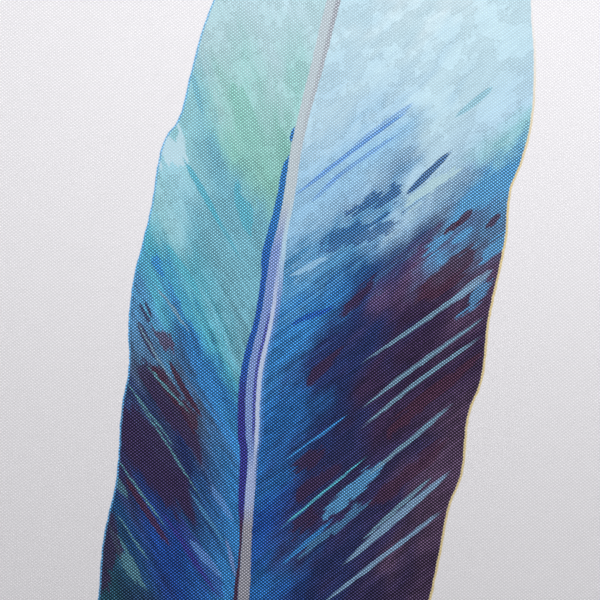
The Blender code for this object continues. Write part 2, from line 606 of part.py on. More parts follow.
def build_tensioner(group, cutters, plastic, zinc, elastic):
    """The elastic loop, and the collar on the lower tube whose hook the loop is pulled down over."""
    upper = arc((0.0, LOOP_TOP), LOOP_HALF_WIDTH, 0.0, math.pi, 8)
    lower = arc((0.0, HOOK_Z), LOOP_HALF_WIDTH, math.pi, 2 * math.pi, 8)
    loop = rod_curve("tension_cord", [(LOOP_X, y, z) for y, z in upper + lower], CORD_R, cyclic=True)
    place(loop, group, elastic)

    low, high = HOOK_Z - CLAMP_H / 2, HOOK_Z + CLAMP_H / 2
    along_x = Matrix.Translation((0.0, 0.0, HOOK_Z)) @ TO_X
    clamp = turned("tension_clamp", rod_profile(CLAMP_R, low, high), 24)
    place(clamp, group, plastic)
    boss = upright_prisms("join_clamp_boss", [(0.0, 0.0, CLAMP_BOSS_R, -CLAMP_BOSS_END, 0.0)], segments=16)
    combine(clamp, boss, cutters, "UNION", matrix=along_x)
    bore = [(0.0, 0.0, CLAMP_BORE_R, low - CLAMP_H, high + CLAMP_H)]
    combine(clamp, upright_prisms("cut_clamp_bore", bore, segments=20), cutters)
    side_holes = [
        (0.0, 0.0, THUMB_SHANK_R + GAP, -2 * CLAMP_BOSS_END, 0.0),
        (0.0, 0.0, HOOK_R + GAP, HOOK_START - GAP, 2 * CLAMP_R),
    ]
    combine(clamp, upright_prisms("cut_clamp_sides", side_holes), cutters, matrix=along_x)

    lip_r = HOOK_R + HOOK_LIP
    hook = [
        (0.0, HOOK_END), (lip_r, HOOK_END), (lip_r, HOOK_END - HOOK_LIP_T), (HOOK_R, HOOK_END - HOOK_LIP_T),
        (HOOK_R, HOOK_START), (0.0, HOOK_START),
    ]
    place(turned("tension_hook", hook, 12), group, zinc, along_x)

    knob_middle = -(CLAMP_BOSS_END + GAP + THUMB_KNOB_T / 2)
    wheel = settled(flat_plate("thumb_screw", [thumb_outline()], THUMB_KNOB_T))
    wheel.data.transform(Matrix.Translation((0.0, 0.0, knob_middle)))
    place(wheel, group, zinc, along_x)
    shank = upright_prisms("join_thumb_shank", [(0.0, 0.0, THUMB_SHANK_R, knob_middle, -CLAMP_BORE_R)])
    combine(wheel, shank, cutters, "UNION", matrix=along_x)


def thumb_outline():
    """A round knob with shallow grip lobes."""
    steps = THUMB_LOBES * 4
    found = []
    for i in range(steps):
        a = 2 * math.pi * i / steps
        r = THUMB_KNOB_R - THUMB_LOBE_DEPTH * (0.5 - 0.5 * math.cos(THUMB_LOBES * a))
        found.append((r * math.cos(a), r * math.sin(a)))
    return found


def main():
    for obj in list(bpy.data.objects):
        bpy.data.objects.remove(obj)
    group = collection("feather_flag")
    cutters = collection("cutters")

    cloth = material("printed_cloth", (0.86, 0.86, 0.88), 0.8)
    webbing = material("pocket_webbing", (0.80, 0.80, 0.82), 0.85)
    powder = material("powder_coat", (0.03, 0.03, 0.035), 0.5, 0.3)
    zinc = material("zinc_steel", (0.62, 0.63, 0.65), 0.3, 1.0)
    aluminium = material("aluminium", (0.72, 0.73, 0.75), 0.35, 1.0)
    fibreglass = material("fibreglass", (0.05, 0.05, 0.055), 0.35)
    plastic = material("black_plastic", (0.02, 0.02, 0.022), 0.45)
    acetal = material("acetal", (0.85, 0.84, 0.80), 0.4)
    rubber = material("rubber", (0.015, 0.015, 0.015), 0.85)
    plated = material("nickel_grommet", (0.72, 0.70, 0.66), 0.25, 1.0)
    elastic = material("elastic_cord", (0.03, 0.03, 0.03), 0.9)

    build_hub(group, cutters, powder, zinc)
    build_housing(group, cutters, powder, zinc, acetal)
    for i in range(LEG_COUNT):
        build_leg(i, group, cutters, powder, plastic, rubber, zinc)
    build_spindle(group, zinc)
    build_pole(group, aluminium, fibreglass, plastic, rubber)
    build_sleeve(group, cloth, webbing)
    build_sail(group, cloth, plated)
    build_tensioner(group, cutters, plastic, zinc, elastic)
    bpy.context.view_layer.update()


main()
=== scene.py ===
"""Looks of a table-top feather flag: printed sail, pole sleeve, trims, finishes, and the studio round it.

Metres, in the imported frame: +Z up, the pole's straight part on x = y = 0, and the sail in the XZ plane on
its +X side with the printed face towards -Y. The print is laid out in millimetres of the flat cut, with the
same x and z.
"""

import json
import math

import bmesh
import bpy
from mathutils import Matrix, Vector, noise
from mathutils.bvhtree import BVHTree
from mathutils.geometry import delaunay_2d_cdt

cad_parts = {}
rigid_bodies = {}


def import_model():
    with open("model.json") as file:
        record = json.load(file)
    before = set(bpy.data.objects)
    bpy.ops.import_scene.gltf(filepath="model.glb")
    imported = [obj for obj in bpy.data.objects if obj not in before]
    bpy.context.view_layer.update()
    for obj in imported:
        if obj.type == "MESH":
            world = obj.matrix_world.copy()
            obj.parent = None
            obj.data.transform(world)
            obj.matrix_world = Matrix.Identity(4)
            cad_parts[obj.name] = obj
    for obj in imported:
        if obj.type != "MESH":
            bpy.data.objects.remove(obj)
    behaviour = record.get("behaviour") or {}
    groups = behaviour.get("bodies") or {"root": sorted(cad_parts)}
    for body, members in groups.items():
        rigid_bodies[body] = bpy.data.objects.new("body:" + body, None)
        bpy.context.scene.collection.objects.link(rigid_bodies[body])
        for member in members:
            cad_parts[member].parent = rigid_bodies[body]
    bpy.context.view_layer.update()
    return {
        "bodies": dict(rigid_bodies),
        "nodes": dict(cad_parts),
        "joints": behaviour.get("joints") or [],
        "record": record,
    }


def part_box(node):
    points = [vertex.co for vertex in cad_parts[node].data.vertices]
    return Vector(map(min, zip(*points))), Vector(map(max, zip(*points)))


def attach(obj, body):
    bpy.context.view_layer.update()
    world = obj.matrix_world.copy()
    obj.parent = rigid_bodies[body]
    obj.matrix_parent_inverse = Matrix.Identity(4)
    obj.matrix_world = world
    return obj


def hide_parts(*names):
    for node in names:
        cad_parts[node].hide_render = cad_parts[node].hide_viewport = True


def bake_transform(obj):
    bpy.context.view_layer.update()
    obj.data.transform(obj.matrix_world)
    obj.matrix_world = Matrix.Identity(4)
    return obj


MM = 0.001

# The pole's line, as the frame is built: straight up, then a bend that tightens towards the tip.
BEND_START = 520 * MM
BEND_LENGTH = 250 * MM
BEND_ANGLE = math.radians(110)
BEND_POWER = 1.15
BEND_STEPS = 22
STRAIGHT_END = 14 * MM
SLEEVE_RUNOUT = 2 * MM

# Cloth.
CLOTH_T = 0.28 * MM
SLEEVE_T = 0.26 * MM
PATCH_T = 0.24 * MM
FURTHEST_MOVE = 9 * MM  # of any point of the sail as it hangs
SEWN_AT = 6.2 * MM  # from the pole's axis to the edge of the sail's cut
LATTICE = 4.0 * MM  # between the points of the cloth that hangs
HELD_WIDTH = 7.0 * MM  # of the sail's edge that is sewn into the sleeve
HEM_WIDTH = 5.0 * MM
PATCH_LENGTH = 30 * MM
PATCH_WIDTH = 24 * MM
SEAM_ALLOWANCE = 12.2 * MM  # from the pole's axis to the raw edge of the sleeve's two lips
SEAM_AT = 9.3 * MM  # from the pole's axis to where the sleeve's two walls meet
STITCH = 2.1 * MM
STITCH_GAP = 0.7 * MM
THREAD_R = 0.17 * MM

# Weave: the pitch of the upright and of the level threads, in millimetres.
WARP_PITCH = 0.400
WEFT_PITCH = 0.314
CUT_MAP = "cut"


# ---------------------------------------------------------------- shader expressions


def ink(code):
    """A linear colour from the six hex digits of an sRGB one."""
    parts = [int(code[i : i + 2], 16) / 255 for i in (0, 2, 4)]
    return tuple(p / 12.92 if p <= 0.04045 else ((p + 0.055) / 1.055) ** 2.4 for p in parts) + (1.0,)


class Value:
    """A number that varies over a surface. Python's operators on it add Math nodes."""

    def __init__(self, finish, socket):
        self.finish = finish
        self.socket = socket

    def __add__(self, other):
        return self.finish.math("ADD", self, other)

    def __radd__(self, other):
        return self.finish.math("ADD", other, self)

    def __sub__(self, other):
        return self.finish.math("SUBTRACT", self, other)

    def __rsub__(self, other):
        return self.finish.math("SUBTRACT", other, self)

    def __mul__(self, other):
        return self.finish.math("MULTIPLY", self, other)

    def __rmul__(self, other):
        return self.finish.math("MULTIPLY", other, self)

    def __truediv__(self, other):
        return self.finish.math("DIVIDE", self, other)

    def __abs__(self):
        return self.finish.math("ABSOLUTE", self)

    def sin(self):
        return self.finish.math("SINE", self)

    def at_least(self, other):
        return self.finish.math("MAXIMUM", self, other)

    def smooth(self, low, high):
        """0 at low and 1 at high, with a soft step between them; low may be the larger."""
        settings = {"interpolation_type": "SMOOTHSTEP"}
        inputs = {0: self, 1: low, 2: high, 3: 0.0, 4: 1.0}
        return Value(self.finish, self.finish.node("ShaderNodeMapRange", settings, inputs).outputs[0])


class Finish:
    """A material and the nodes that make it."""

    def __init__(self, name):
        self.material = bpy.data.materials.new(name)
        self.material.use_nodes = True
        self.tree = self.material.node_tree
        self.shader = self.tree.nodes["Principled BSDF"]

    def node(self, kind, settings=None, inputs=None):
        """A new node: its settings first, then the values or links of its sockets."""
        made = self.tree.nodes.new(kind)
        for name, value in (settings or {}).items():
            if name == "stops":
                self.set_stops(made.color_ramp, value)
            elif name == "points":
                self.set_points(made.mapping, value)
            else:
                setattr(made, name, value)
        for key, value in (inputs or {}).items():
            self.feed(made.inputs[key], value)
        return made

    def feed(self, socket, value):
        if isinstance(value, Value):
            value = value.socket
        if isinstance(value, bpy.types.NodeSocket):
            self.tree.links.new(value, socket)
        else:
            socket.default_value = value

    @staticmethod
    def set_stops(ramp, stops):
        while len(ramp.elements) < len(stops):
            ramp.elements.new(0.5)
        for element, (position, colour) in zip(ramp.elements, stops):
            element.position = position
            element.color = colour

    @staticmethod
    def set_points(mapping, points):
        curve = mapping.curves[0]
        while len(curve.points) < len(points):
            curve.points.new(0.5, 0.5)
        for point, place in zip(curve.points, points):
            point.location = place
            point.handle_type = "AUTO"
        mapping.update()

    def math(self, operation, *numbers):
        made = self.node("ShaderNodeMath", {"operation": operation}, dict(enumerate(numbers)))
        return Value(self, made.outputs[0])

    def vector(self, x, y, z=0.0):
        return self.node("ShaderNodeCombineXYZ", None, {0: x, 1: y, 2: z}).outputs[0]

    def parts(self, vector):
        made = self.node("ShaderNodeSeparateXYZ", None, {0: vector})
        return [Value(self, made.outputs[i]) for i in range(3)]

    def cut_place(self):
        """Where a point lies on the flat cut, as (x, z) in millimetres."""
        return self.parts(self.node("ShaderNodeUVMap", {"uv_map": CUT_MAP}).outputs[0])[:2]

    def own_place(self):
        """A point's place on its own piece, in metres: it stays with the piece at every pose."""
        return self.node("ShaderNodeTexCoord").outputs["Object"]

    def noise(self, vector, scale, detail=2.0, roughness=0.5, stretch=None, dimensions="3D"):
        if stretch:
            scaled = self.node("ShaderNodeVectorMath", {"operation": "MULTIPLY"}, {0: vector, 1: stretch})
            vector = scaled.outputs[0]
        inputs = {"Vector": vector, "Scale": scale, "Detail": detail, "Roughness": roughness}
        made = self.node("ShaderNodeTexNoise", {"noise_dimensions": dimensions}, inputs)
        return Value(self, made.outputs[0])

    def mix(self, factor, a, b, blend="MIX"):
        settings = {"data_type": "RGBA", "blend_type": blend, "clamp_factor": True}
        return self.node("ShaderNodeMix", settings, {0: factor, 6: a, 7: b}).outputs[2]

    def ramp(self, value, stops):
        return self.node("ShaderNodeValToRGB", {"stops": stops}, {0: value}).outputs[0]

    def curve(self, value, points):
        """A smooth curve through (0 to 1, 0 to 1) points."""
        return Value(self, self.node("ShaderNodeFloatCurve", {"points": points}, {1: value}).outputs[0])

    def grey(self, value):
        """The same number as a colour, for mixing."""
        return self.node("ShaderNodeCombineColor", None, {0: value, 1: value, 2: value}).outputs[0]

    def bump(self, height, distance, strength=1.0):
        inputs = {"Height": height, "Distance": distance, "Strength": strength}
        return self.node("ShaderNodeBump", None, inputs).outputs[0]

    def finish(self, **sockets):
        """Feeds the shader's sockets, such as base_color, and returns the material."""
        for name, value in sockets.items():
            self.feed(self.shader.inputs[name.replace("_", " ").title().replace("Ior", "IOR")], value)
        return self.material


# ---------------------------------------------------------------- the feather print

FEATHER_FOOT = 280.0
FEATHER_TIP = 620.0
ACROSS = 200.0  # what an outline's x is divided by, to fit on a curve
NARROW = 4.0  # the same, for the shaft's half width and its dark line
LEFT_BARB_RISE = 1.444  # how far a barb rises for each millimetre out from the shaft
RIGHT_BARB_RISE = 0.86

# (height, x) of the shaft's middle and of the two outlines, from the quill's end to the tip.
SHAFT = [
    (280, 83), (330, 81.5), (380, 80.5), (435, 80), (450, 80.5), (464, 80.5), (477, 82.5), (490, 83.5),
    (500, 85), (510, 86), (530, 90), (540, 92), (560, 97), (580, 103), (600, 111), (612, 118), (620, 120),
]
LEFT_EDGE = [
    (280, 83), (322, 81), (328, 72), (335, 58), (345, 52), (360, 48.5), (380, 48), (400, 48.5),
    (418, 50.5), (430, 51), (442, 53), (457, 53.5), (465, 54.5), (473, 54), (482, 54.5), (490, 56),
    (498, 57.5), (507, 58.5), (511, 59.5), (515, 62), (524, 64), (535, 66.5), (545, 70.5), (560, 77.5),
    (580, 89), (600, 102), (612, 118), (620, 120),
]
RIGHT_EDGE = [
    (280, 83), (322, 82), (328, 84), (335, 91), (345, 98), (360, 103), (380, 107.5), (400, 112), (418, 117),
    (430, 119), (440, 120.5), (446, 122.5), (459, 123.5), (465, 125.5), (478, 126.5), (494, 129),
    (504, 129.5), (510, 131.5), (518, 133), (531, 133), (540, 132), (560, 131), (580, 129.5),
    (600, 124.5), (612, 118.5), (620, 120),
]
# (height, half width) of the pale shaft, and (height, width) of the dark line on its left.
SHAFT_HALF = [
    (280, 0.3), (300, 1.2), (380, 1.3), (420, 1.2), (436, 0.9), (447, 1.0), (453, 1.8), (465, 2.0),
    (477, 1.8),
    (489, 1.5), (496, 1.1), (510, 1.1), (540, 1.4), (560, 1.2), (580, 0.9), (600, 0.5), (620, 0.1),
]
DARK_LINE = [
    (280, 0), (330, 0.5), (420, 0.9), (428, 0.5), (436, 1.0), (446, 1.6), (466, 1.5), (477, 1.2),
    (484, 1.2),
    (490, 1.8), (496, 1.6), (503, 1.3), (508, 0.8), (510, 0), (511, 0), (513, 0.8), (515, 0), (620, 0),
]

INKS = {
    # the bare cloth, and the painted highlight tint on its threads
    "cloth": "efedf1", "undyed": "e9e8ee", "glint": "c9c8f0",
    # pale washes
    "white_ice": "d4e6ee", "ice": "c4e0ec", "pale_ice": "bedcea", "mist": "b4d4e8", "sky": "98c4e4",
    "aqua": "a8d8e8", "pale_teal": "b4d4dc", "fog": "bcc8d0", "pearl": "a8b8e0", "sand": "9c9ca8",
    # greens and teals
    "teal_mist": "a0d0d0", "sea_green": "88c0b8", "shallow": "94c8d4", "teal": "78b4c8",
    "deep_teal": "58b0c8", "reef": "588898", "ink_teal": "2a586e", "thin_teal": "7498b0",
    # blues
    "lagoon": "60b0e8", "cornflower": "6c9cdc", "steel": "84a8c8", "slate_blue": "5898c8", "azure": "3c88cc",
    "royal": "2c70b8", "cobalt": "2254ac", "navy": "285890", "night": "28386e", "slate": "546a8c",
    # purples
    "bright_line": "c6d2ea", "lavender": "8098d0", "iris": "4a4ea8", "violet": "38348c",
    "indigo": "383460", "mauve": "5e4a70", "plum": "584460", "aubergine": "3a2a4c", "raisin": "4a283c",
    "gold": "dcc060",
}

# Brush widths, in millimetres.
BRUSH = {"hair": 0.6, "liner": 1.1, "round": 1.7, "filbert": 2.4, "flat": 3.2, "wide": 5.4, "wash": 9.0}

# Inks along three or four lines of each vane, by the height at which a barb leaves the shaft.
LEFT_BY_SHAFT = [
    (372, "night"), (398, "cobalt"), (412, "azure"), (425, "azure"), (440, "azure"), (449, "azure"),
    (457, "deep_teal"), (463, "teal"), (476, "teal"), (488, "teal"), (496, "sea_green"),
    (508, "sea_green"), (518, "teal_mist"), (530, "pale_teal"), (560, "pale_teal"),
]
LEFT_MIDDLE = [
    (372, "ink_teal"), (392, "night"), (405, "cobalt"), (416, "night"), (430, "night"), (440, "slate"),
    (448, "azure"), (456, "deep_teal"), (468, "teal"), (484, "teal"), (492, "sea_green"), (502, "teal_mist"),
    (514, "pale_teal"), (530, "ice"), (560, "pale_teal"),
]
LEFT_BY_EDGE = [
    (372, "ink_teal"), (388, "ink_teal"), (398, "navy"), (408, "indigo"), (418, "night"), (430, "slate"),
    (442, "slate_blue"), (450, "deep_teal"), (460, "shallow"), (470, "aqua"), (480, "shallow"),
    (488, "shallow"),
    (496, "pale_teal"), (506, "pale_teal"), (520, "ice"), (560, "ice"),
]
RIGHT_BY_SHAFT = [
    (380, "night"), (405, "cobalt"), (420, "royal"), (432, "cobalt"), (440, "royal"), (452, "royal"),
    (464, "azure"), (472, "azure"), (482, "slate_blue"), (490, "sky"), (500, "sky"), (512, "mist"),
    (530, "pale_ice"), (560, "ice"),
]
RIGHT_INNER = [
    (380, "night"), (410, "night"), (425, "indigo"), (440, "night"), (452, "night"), (462, "night"),
    (471, "navy"), (480, "slate_blue"), (488, "steel"), (496, "sky"), (506, "mist"), (520, "ice"),
    (535, "white_ice"), (560, "ice"),
]
RIGHT_OUTER = [
    (380, "aubergine"), (405, "indigo"), (420, "indigo"), (434, "aubergine"), (452, "aubergine"),
    (464, "mauve"), (467, "slate"), (474, "steel"), (483, "mist"), (494, "pale_ice"), (512, "ice"),
    (524, "white_ice"), (560, "ice"),
]
RIGHT_BY_EDGE = [
    (380, "aubergine"), (405, "plum"), (420, "plum"), (436, "aubergine"), (448, "plum"),
    (458, "slate"),
    (466, "slate_blue"), (472, "slate_blue"), (478, "shallow"), (485, "mist"), (496, "pale_ice"),
    (508, "ice"), (530, "ice"), (560, "aqua"),
]

# Brush strokes: (out, height) of the two ends, with the height as in the ink lines above, then the brush,
# the ink, and how much of it shows.
LEFT_STROKES = [
    # teal and sea green above the dark patch
    (5, 485, 10, 485, "flat", "deep_teal", 0.7), (8, 499, 15, 500, "wide", "sea_green", 0.6),
    (20, 487, 24, 489, "round", "teal", 0.7), (24, 478, 28, 466, "flat", "ice", 0.8),
    (13, 476, 22, 475, "round", "deep_teal", 0.8), (8, 477, 15, 476, "liner", "deep_teal", 0.5),
    (22, 453, 25, 450, "round", "azure", 0.75), (15, 459, 22, 457, "round", "deep_teal", 0.8),
    (14, 454, 22, 452, "filbert", "deep_teal", 0.6), (6, 448, 14, 447, "flat", "azure", 0.5),
    # the dark patch
    (12, 423, 27, 413, "wash", "aubergine", 0.8), (12, 434, 24, 430, "wide", "aubergine", 0.85),
    (18, 444, 23, 440, "filbert", "plum", 0.8), (24, 440, 26, 440, "filbert", "aubergine", 0.8),
    (21, 437, 26, 436, "round", "aubergine", 0.8), (11, 440, 18, 440, "round", "raisin", 0.9),
    (12, 438, 21, 434, "filbert", "raisin", 0.8), (16, 407, 25, 406, "round", "raisin", 0.8),
    # violet and blue beside the shaft, and the foot's green
    (4, 415, 13, 412, "wide", "violet", 0.45), (6, 412, 17, 411, "liner", "violet", 0.7),
    (21, 392, 27, 391, "flat", "reef", 0.8), (27, 395, 30, 377, "flat", "aubergine", 0.8),
    (5, 417, 11, 414, "round", "cornflower", 0.5), (3, 431, 8, 430, "round", "cornflower", 0.5),
    (2, 421, 4, 425, "liner", "lavender", 0.6), (5, 424, 12, 423, "liner", "slate_blue", 0.5),
    # hairlines along the barbs
    (16, 450, 24, 447, "hair", "thin_teal", 0.85), (14, 437, 22, 433, "hair", "reef", 0.9),
    (17, 438, 26, 436, "hair", "thin_teal", 0.85), (17, 426, 26, 424, "hair", "reef", 0.9),
    (10, 425, 23, 424, "hair", "reef", 0.9), (17, 409, 27, 407, "hair", "reef", 0.9),
    (20, 398, 26, 397, "hair", "reef", 0.8), (25, 404, 28, 402, "round", "reef", 0.6),
]
RIGHT_STROKES = [
    # cornflower lines across the pale wash
    (2, 500, 20, 501, "liner", "cornflower", 0.9), (11, 501, 21, 502, "round", "cornflower", 0.5),
    (7, 497, 19, 497, "liner", "cornflower", 0.6), (5, 496, 10, 497, "liner", "cornflower", 0.5),
    # blue dabs where the pale wash ends
    (31, 492, 36, 493, "round", "teal", 0.55), (24, 482, 31, 484, "round", "navy", 0.85),
    (12, 487, 22, 483, "filbert", "navy", 0.75), (8, 484, 23, 477, "filbert", "navy", 0.7),
    (24, 480, 33, 478, "filbert", "pale_teal", 0.8), (35, 470, 44, 470, "wide", "slate_blue", 0.55),
    (35, 466, 37, 468, "round", "raisin", 0.85), (33, 466, 35, 467, "round", "raisin", 0.85),
    (41, 461, 43, 462, "round", "raisin", 0.8), (29, 466, 34, 465, "filbert", "slate_blue", 0.8),
    (35, 463, 38, 463, "round", "slate_blue", 0.8), (43, 453, 45, 457, "flat", "slate_blue", 0.8),
    (30, 456, 40, 457, "wide", "raisin", 0.75), (38, 447, 43, 447, "flat", "slate_blue", 0.65),
    # darks and blues beside the shaft
    (14, 465, 20, 467, "filbert", "aubergine", 0.9), (11, 455, 16, 457, "filbert", "aubergine", 0.9),
    (5, 471, 12, 468, "liner", "cobalt", 0.8), (3, 482, 10, 480, "liner", "sky", 0.8),
    (8, 439, 15, 437, "filbert", "aubergine", 0.9), (10, 433, 17, 431, "flat", "aubergine", 0.9),
    (9, 426, 15, 425, "filbert", "aubergine", 0.9), (28, 431, 42, 432, "flat", "raisin", 0.7),
    (24, 418, 38, 419, "flat", "raisin", 0.6), (17, 424, 25, 424, "flat", "slate_blue", 0.85),
    (12, 419, 24, 419, "filbert", "slate_blue", 0.5), (8, 420, 17, 421, "liner", "azure", 0.8),
    # long thin lines out to the edge
    (22, 450, 42, 450, "liner", "thin_teal", 0.85), (36, 450, 43, 450, "round", "steel", 0.6),
    (23, 440, 42, 441, "liner", "thin_teal", 0.85), (23, 436, 42, 437, "liner", "thin_teal", 0.85),
    (24, 425, 39, 426, "liner", "thin_teal", 0.85), (7, 442, 18, 441, "hair", "azure", 0.9),
    (8, 428, 22, 429, "hair", "deep_teal", 0.9), (21, 410, 39, 412, "round", "steel", 0.8),
    (24, 412, 36, 414, "liner", "thin_teal", 0.85), (17, 405, 38, 405, "liner", "steel", 0.8),
]


def by_height(points, span=1.0):
    """(height, number) points as the (0 to 1, 0 to 1) points of a curve."""
    return [((z - FEATHER_FOOT) / (FEATHER_TIP - FEATHER_FOOT), number / span) for z, number in points]


def inks_along(finish, height, stops):
    """The ink at a barb's height, from (height, ink) stops."""
    low, high = stops[0][0], stops[-1][0]
    placed = [((z - low) / (high - low), ink(INKS[name])) for z, name in stops]
    return finish.ramp((height - low) / (high - low), placed)


def brush(finish, colour, crisp, ragged, strokes):
    """Each stroke laid over the last: a long soft oval along its barb."""
    for out_a, height_a, out_b, height_b, size, name, shows in strokes:
        width = BRUSH[size]
        long_way = Vector((out_b - out_a, height_b - height_a))
        settings = {"vector_type": "TEXTURE"}
        inputs = {
            "Vector": ragged if width > 1.8 else crisp,
            "Location": ((out_a + out_b) / 2, (height_a + height_b) / 2, 0.0),
            "Rotation": (0.0, 0.0, math.atan2(long_way.y, long_way.x)),
            "Scale": (0.62 * long_way.length, 0.72 * width, 1.0),
        }
        local = finish.node("ShaderNodeMapping", settings, inputs).outputs[0]
        oval = finish.node("ShaderNodeTexGradient", {"gradient_type": "SPHERICAL"}, {0: local}).outputs[1]
        mask = Value(finish, oval).smooth(0.02, 0.30 if width < 1.3 else 0.22) * shows
        colour = finish.mix(mask, colour, ink(INKS[name]))
    return colour


def vane(finish, out, width, height, rise, lines, strokes):
    """One side of the feather: inks in streaks along its barbs, then its brush strokes."""
    barb = height - out * rise
    at = finish.vector(out, barb)
    fine = finish.noise(at, 1.0, 3.0, 0.6, (0.05, 1.0, 0.0), "2D") - 0.5
    broad = finish.noise(at, 1.0, 2.0, 0.5, (0.02, 0.16, 0.0), "2D") - 0.5
    blots = finish.noise(at, 0.11, 2.0, 0.55, None, "2D") - 0.5
    calm = 1.0 - height.smooth(474, 506) * 0.85
    dabs = finish.noise(at, 0.5, 2.0, 0.6, None, "2D") - 0.5
    streaked = barb + (fine * 9 + broad * 13) * calm + blots * 9 + dabs * 6
    share = out / width + blots * 0.5
    colour = inks_along(finish, streaked, lines[0])
    step = 0.84 / (len(lines) - 1)
    for i, line in enumerate(lines[1:]):
        onward = share.smooth(0.08 + i * step, 0.08 + (i + 1) * step)
        colour = finish.mix(onward, colour, inks_along(finish, streaked, line))
    wash = finish.noise(finish.vector(out + 40, height * 0.8), 0.16, 4.0, 0.6, None, "2D")
    pool = wash.smooth(0.495, 0.51) * 0.09 + abs(wash - 0.50).smooth(0.022, 0.0) * 0.08
    shade = finish.grey(1.04 - pool + fine * (calm * 0.5) + (blots * 0.35 + dabs * 0.1) * (calm * 0.8 + 0.2))
    colour = finish.mix(1.0, colour, shade, "MULTIPLY")
    patches = finish.noise(at, 1.0, 4.0, 0.62, (0.10, 0.36, 0.0), "2D")
    deep = patches.smooth(0.53, 0.50) * (height.smooth(488, 464) * 0.85 + 0.15)
    colour = finish.mix(deep, colour, finish.grey(0.76 + dabs * 0.4), "MULTIPLY")
    crisp = finish.vector(out + blots * 1.5 + dabs * 1.2, barb + fine * 0.5 + dabs * 0.6)
    ragged = finish.vector(out + blots * 7 + dabs * 3, barb + fine * 5 + blots * 2 + dabs * 2.5)
    return brush(finish, colour, crisp, ragged, strokes)


def shaft_inks(finish, colour, height, across, half, dark):
    """The pale shaft with its violet line, and the dark line on its left."""
    share = across / half
    left = inks_along(finish, height, [
        (380, "sand"), (434, "sand"), (439, "pearl"), (445, "pearl"), (449, "lavender"),
        (460, "lavender"), (478, "lavender"), (490, "lavender"), (500, "fog"), (560, "fog"),
    ])
    right = inks_along(finish, height, [
        (380, "sand"), (434, "sand"), (440, "pearl"), (447, "pearl"), (453, "cornflower"),
        (470, "cornflower"), (480, "lavender"), (490, "mist"), (502, "fog"), (560, "sand"),
    ])
    pale = finish.mix(share.smooth(0.1, 0.6), left, right)
    violet = abs(share + 0.12).smooth(0.26, 0.08) * height.smooth(479, 474) * height.smooth(449, 454)
    pale = finish.mix(violet * 0.85, pale, ink(INKS["iris"]))
    bright = abs(share - 0.26).smooth(0.30, 0.12) * height.smooth(492, 476) * height.smooth(444, 452)
    pale = finish.mix(bright * 0.9, pale, ink(INKS["bright_line"]))
    line = inks_along(finish, height, [
        (380, "raisin"), (434, "raisin"), (438, "violet"), (460, "violet"), (466, "cobalt"), (484, "cobalt"),
        (495, "royal"), (515, "royal"), (560, "azure"),
    ])
    beside = -1.0 * across - half
    soft = 0.16
    in_line = beside.smooth(-soft, soft) * (dark - beside).smooth(-soft, soft) * dark.smooth(0.05, 0.4)
    colour = finish.mix(in_line * 0.95, colour, line)
    lost_edge = share.smooth(0.40, 0.85) * height.smooth(486, 470) * height.smooth(440, 448)
    washed = finish.mix(lost_edge * 0.85, pale, colour)
    return finish.mix((half - abs(across)).smooth(-soft, soft), colour, washed)


def weave_height(x, z):
    """Plain weave, 0 to 1: where the upright thread is on top, in a checkerboard of small domes."""
    across = (x * (math.pi / WARP_PITCH)).sin()
    along = (z * (math.pi / WEFT_PITCH)).sin()
    return (across * along).at_least(0.0)


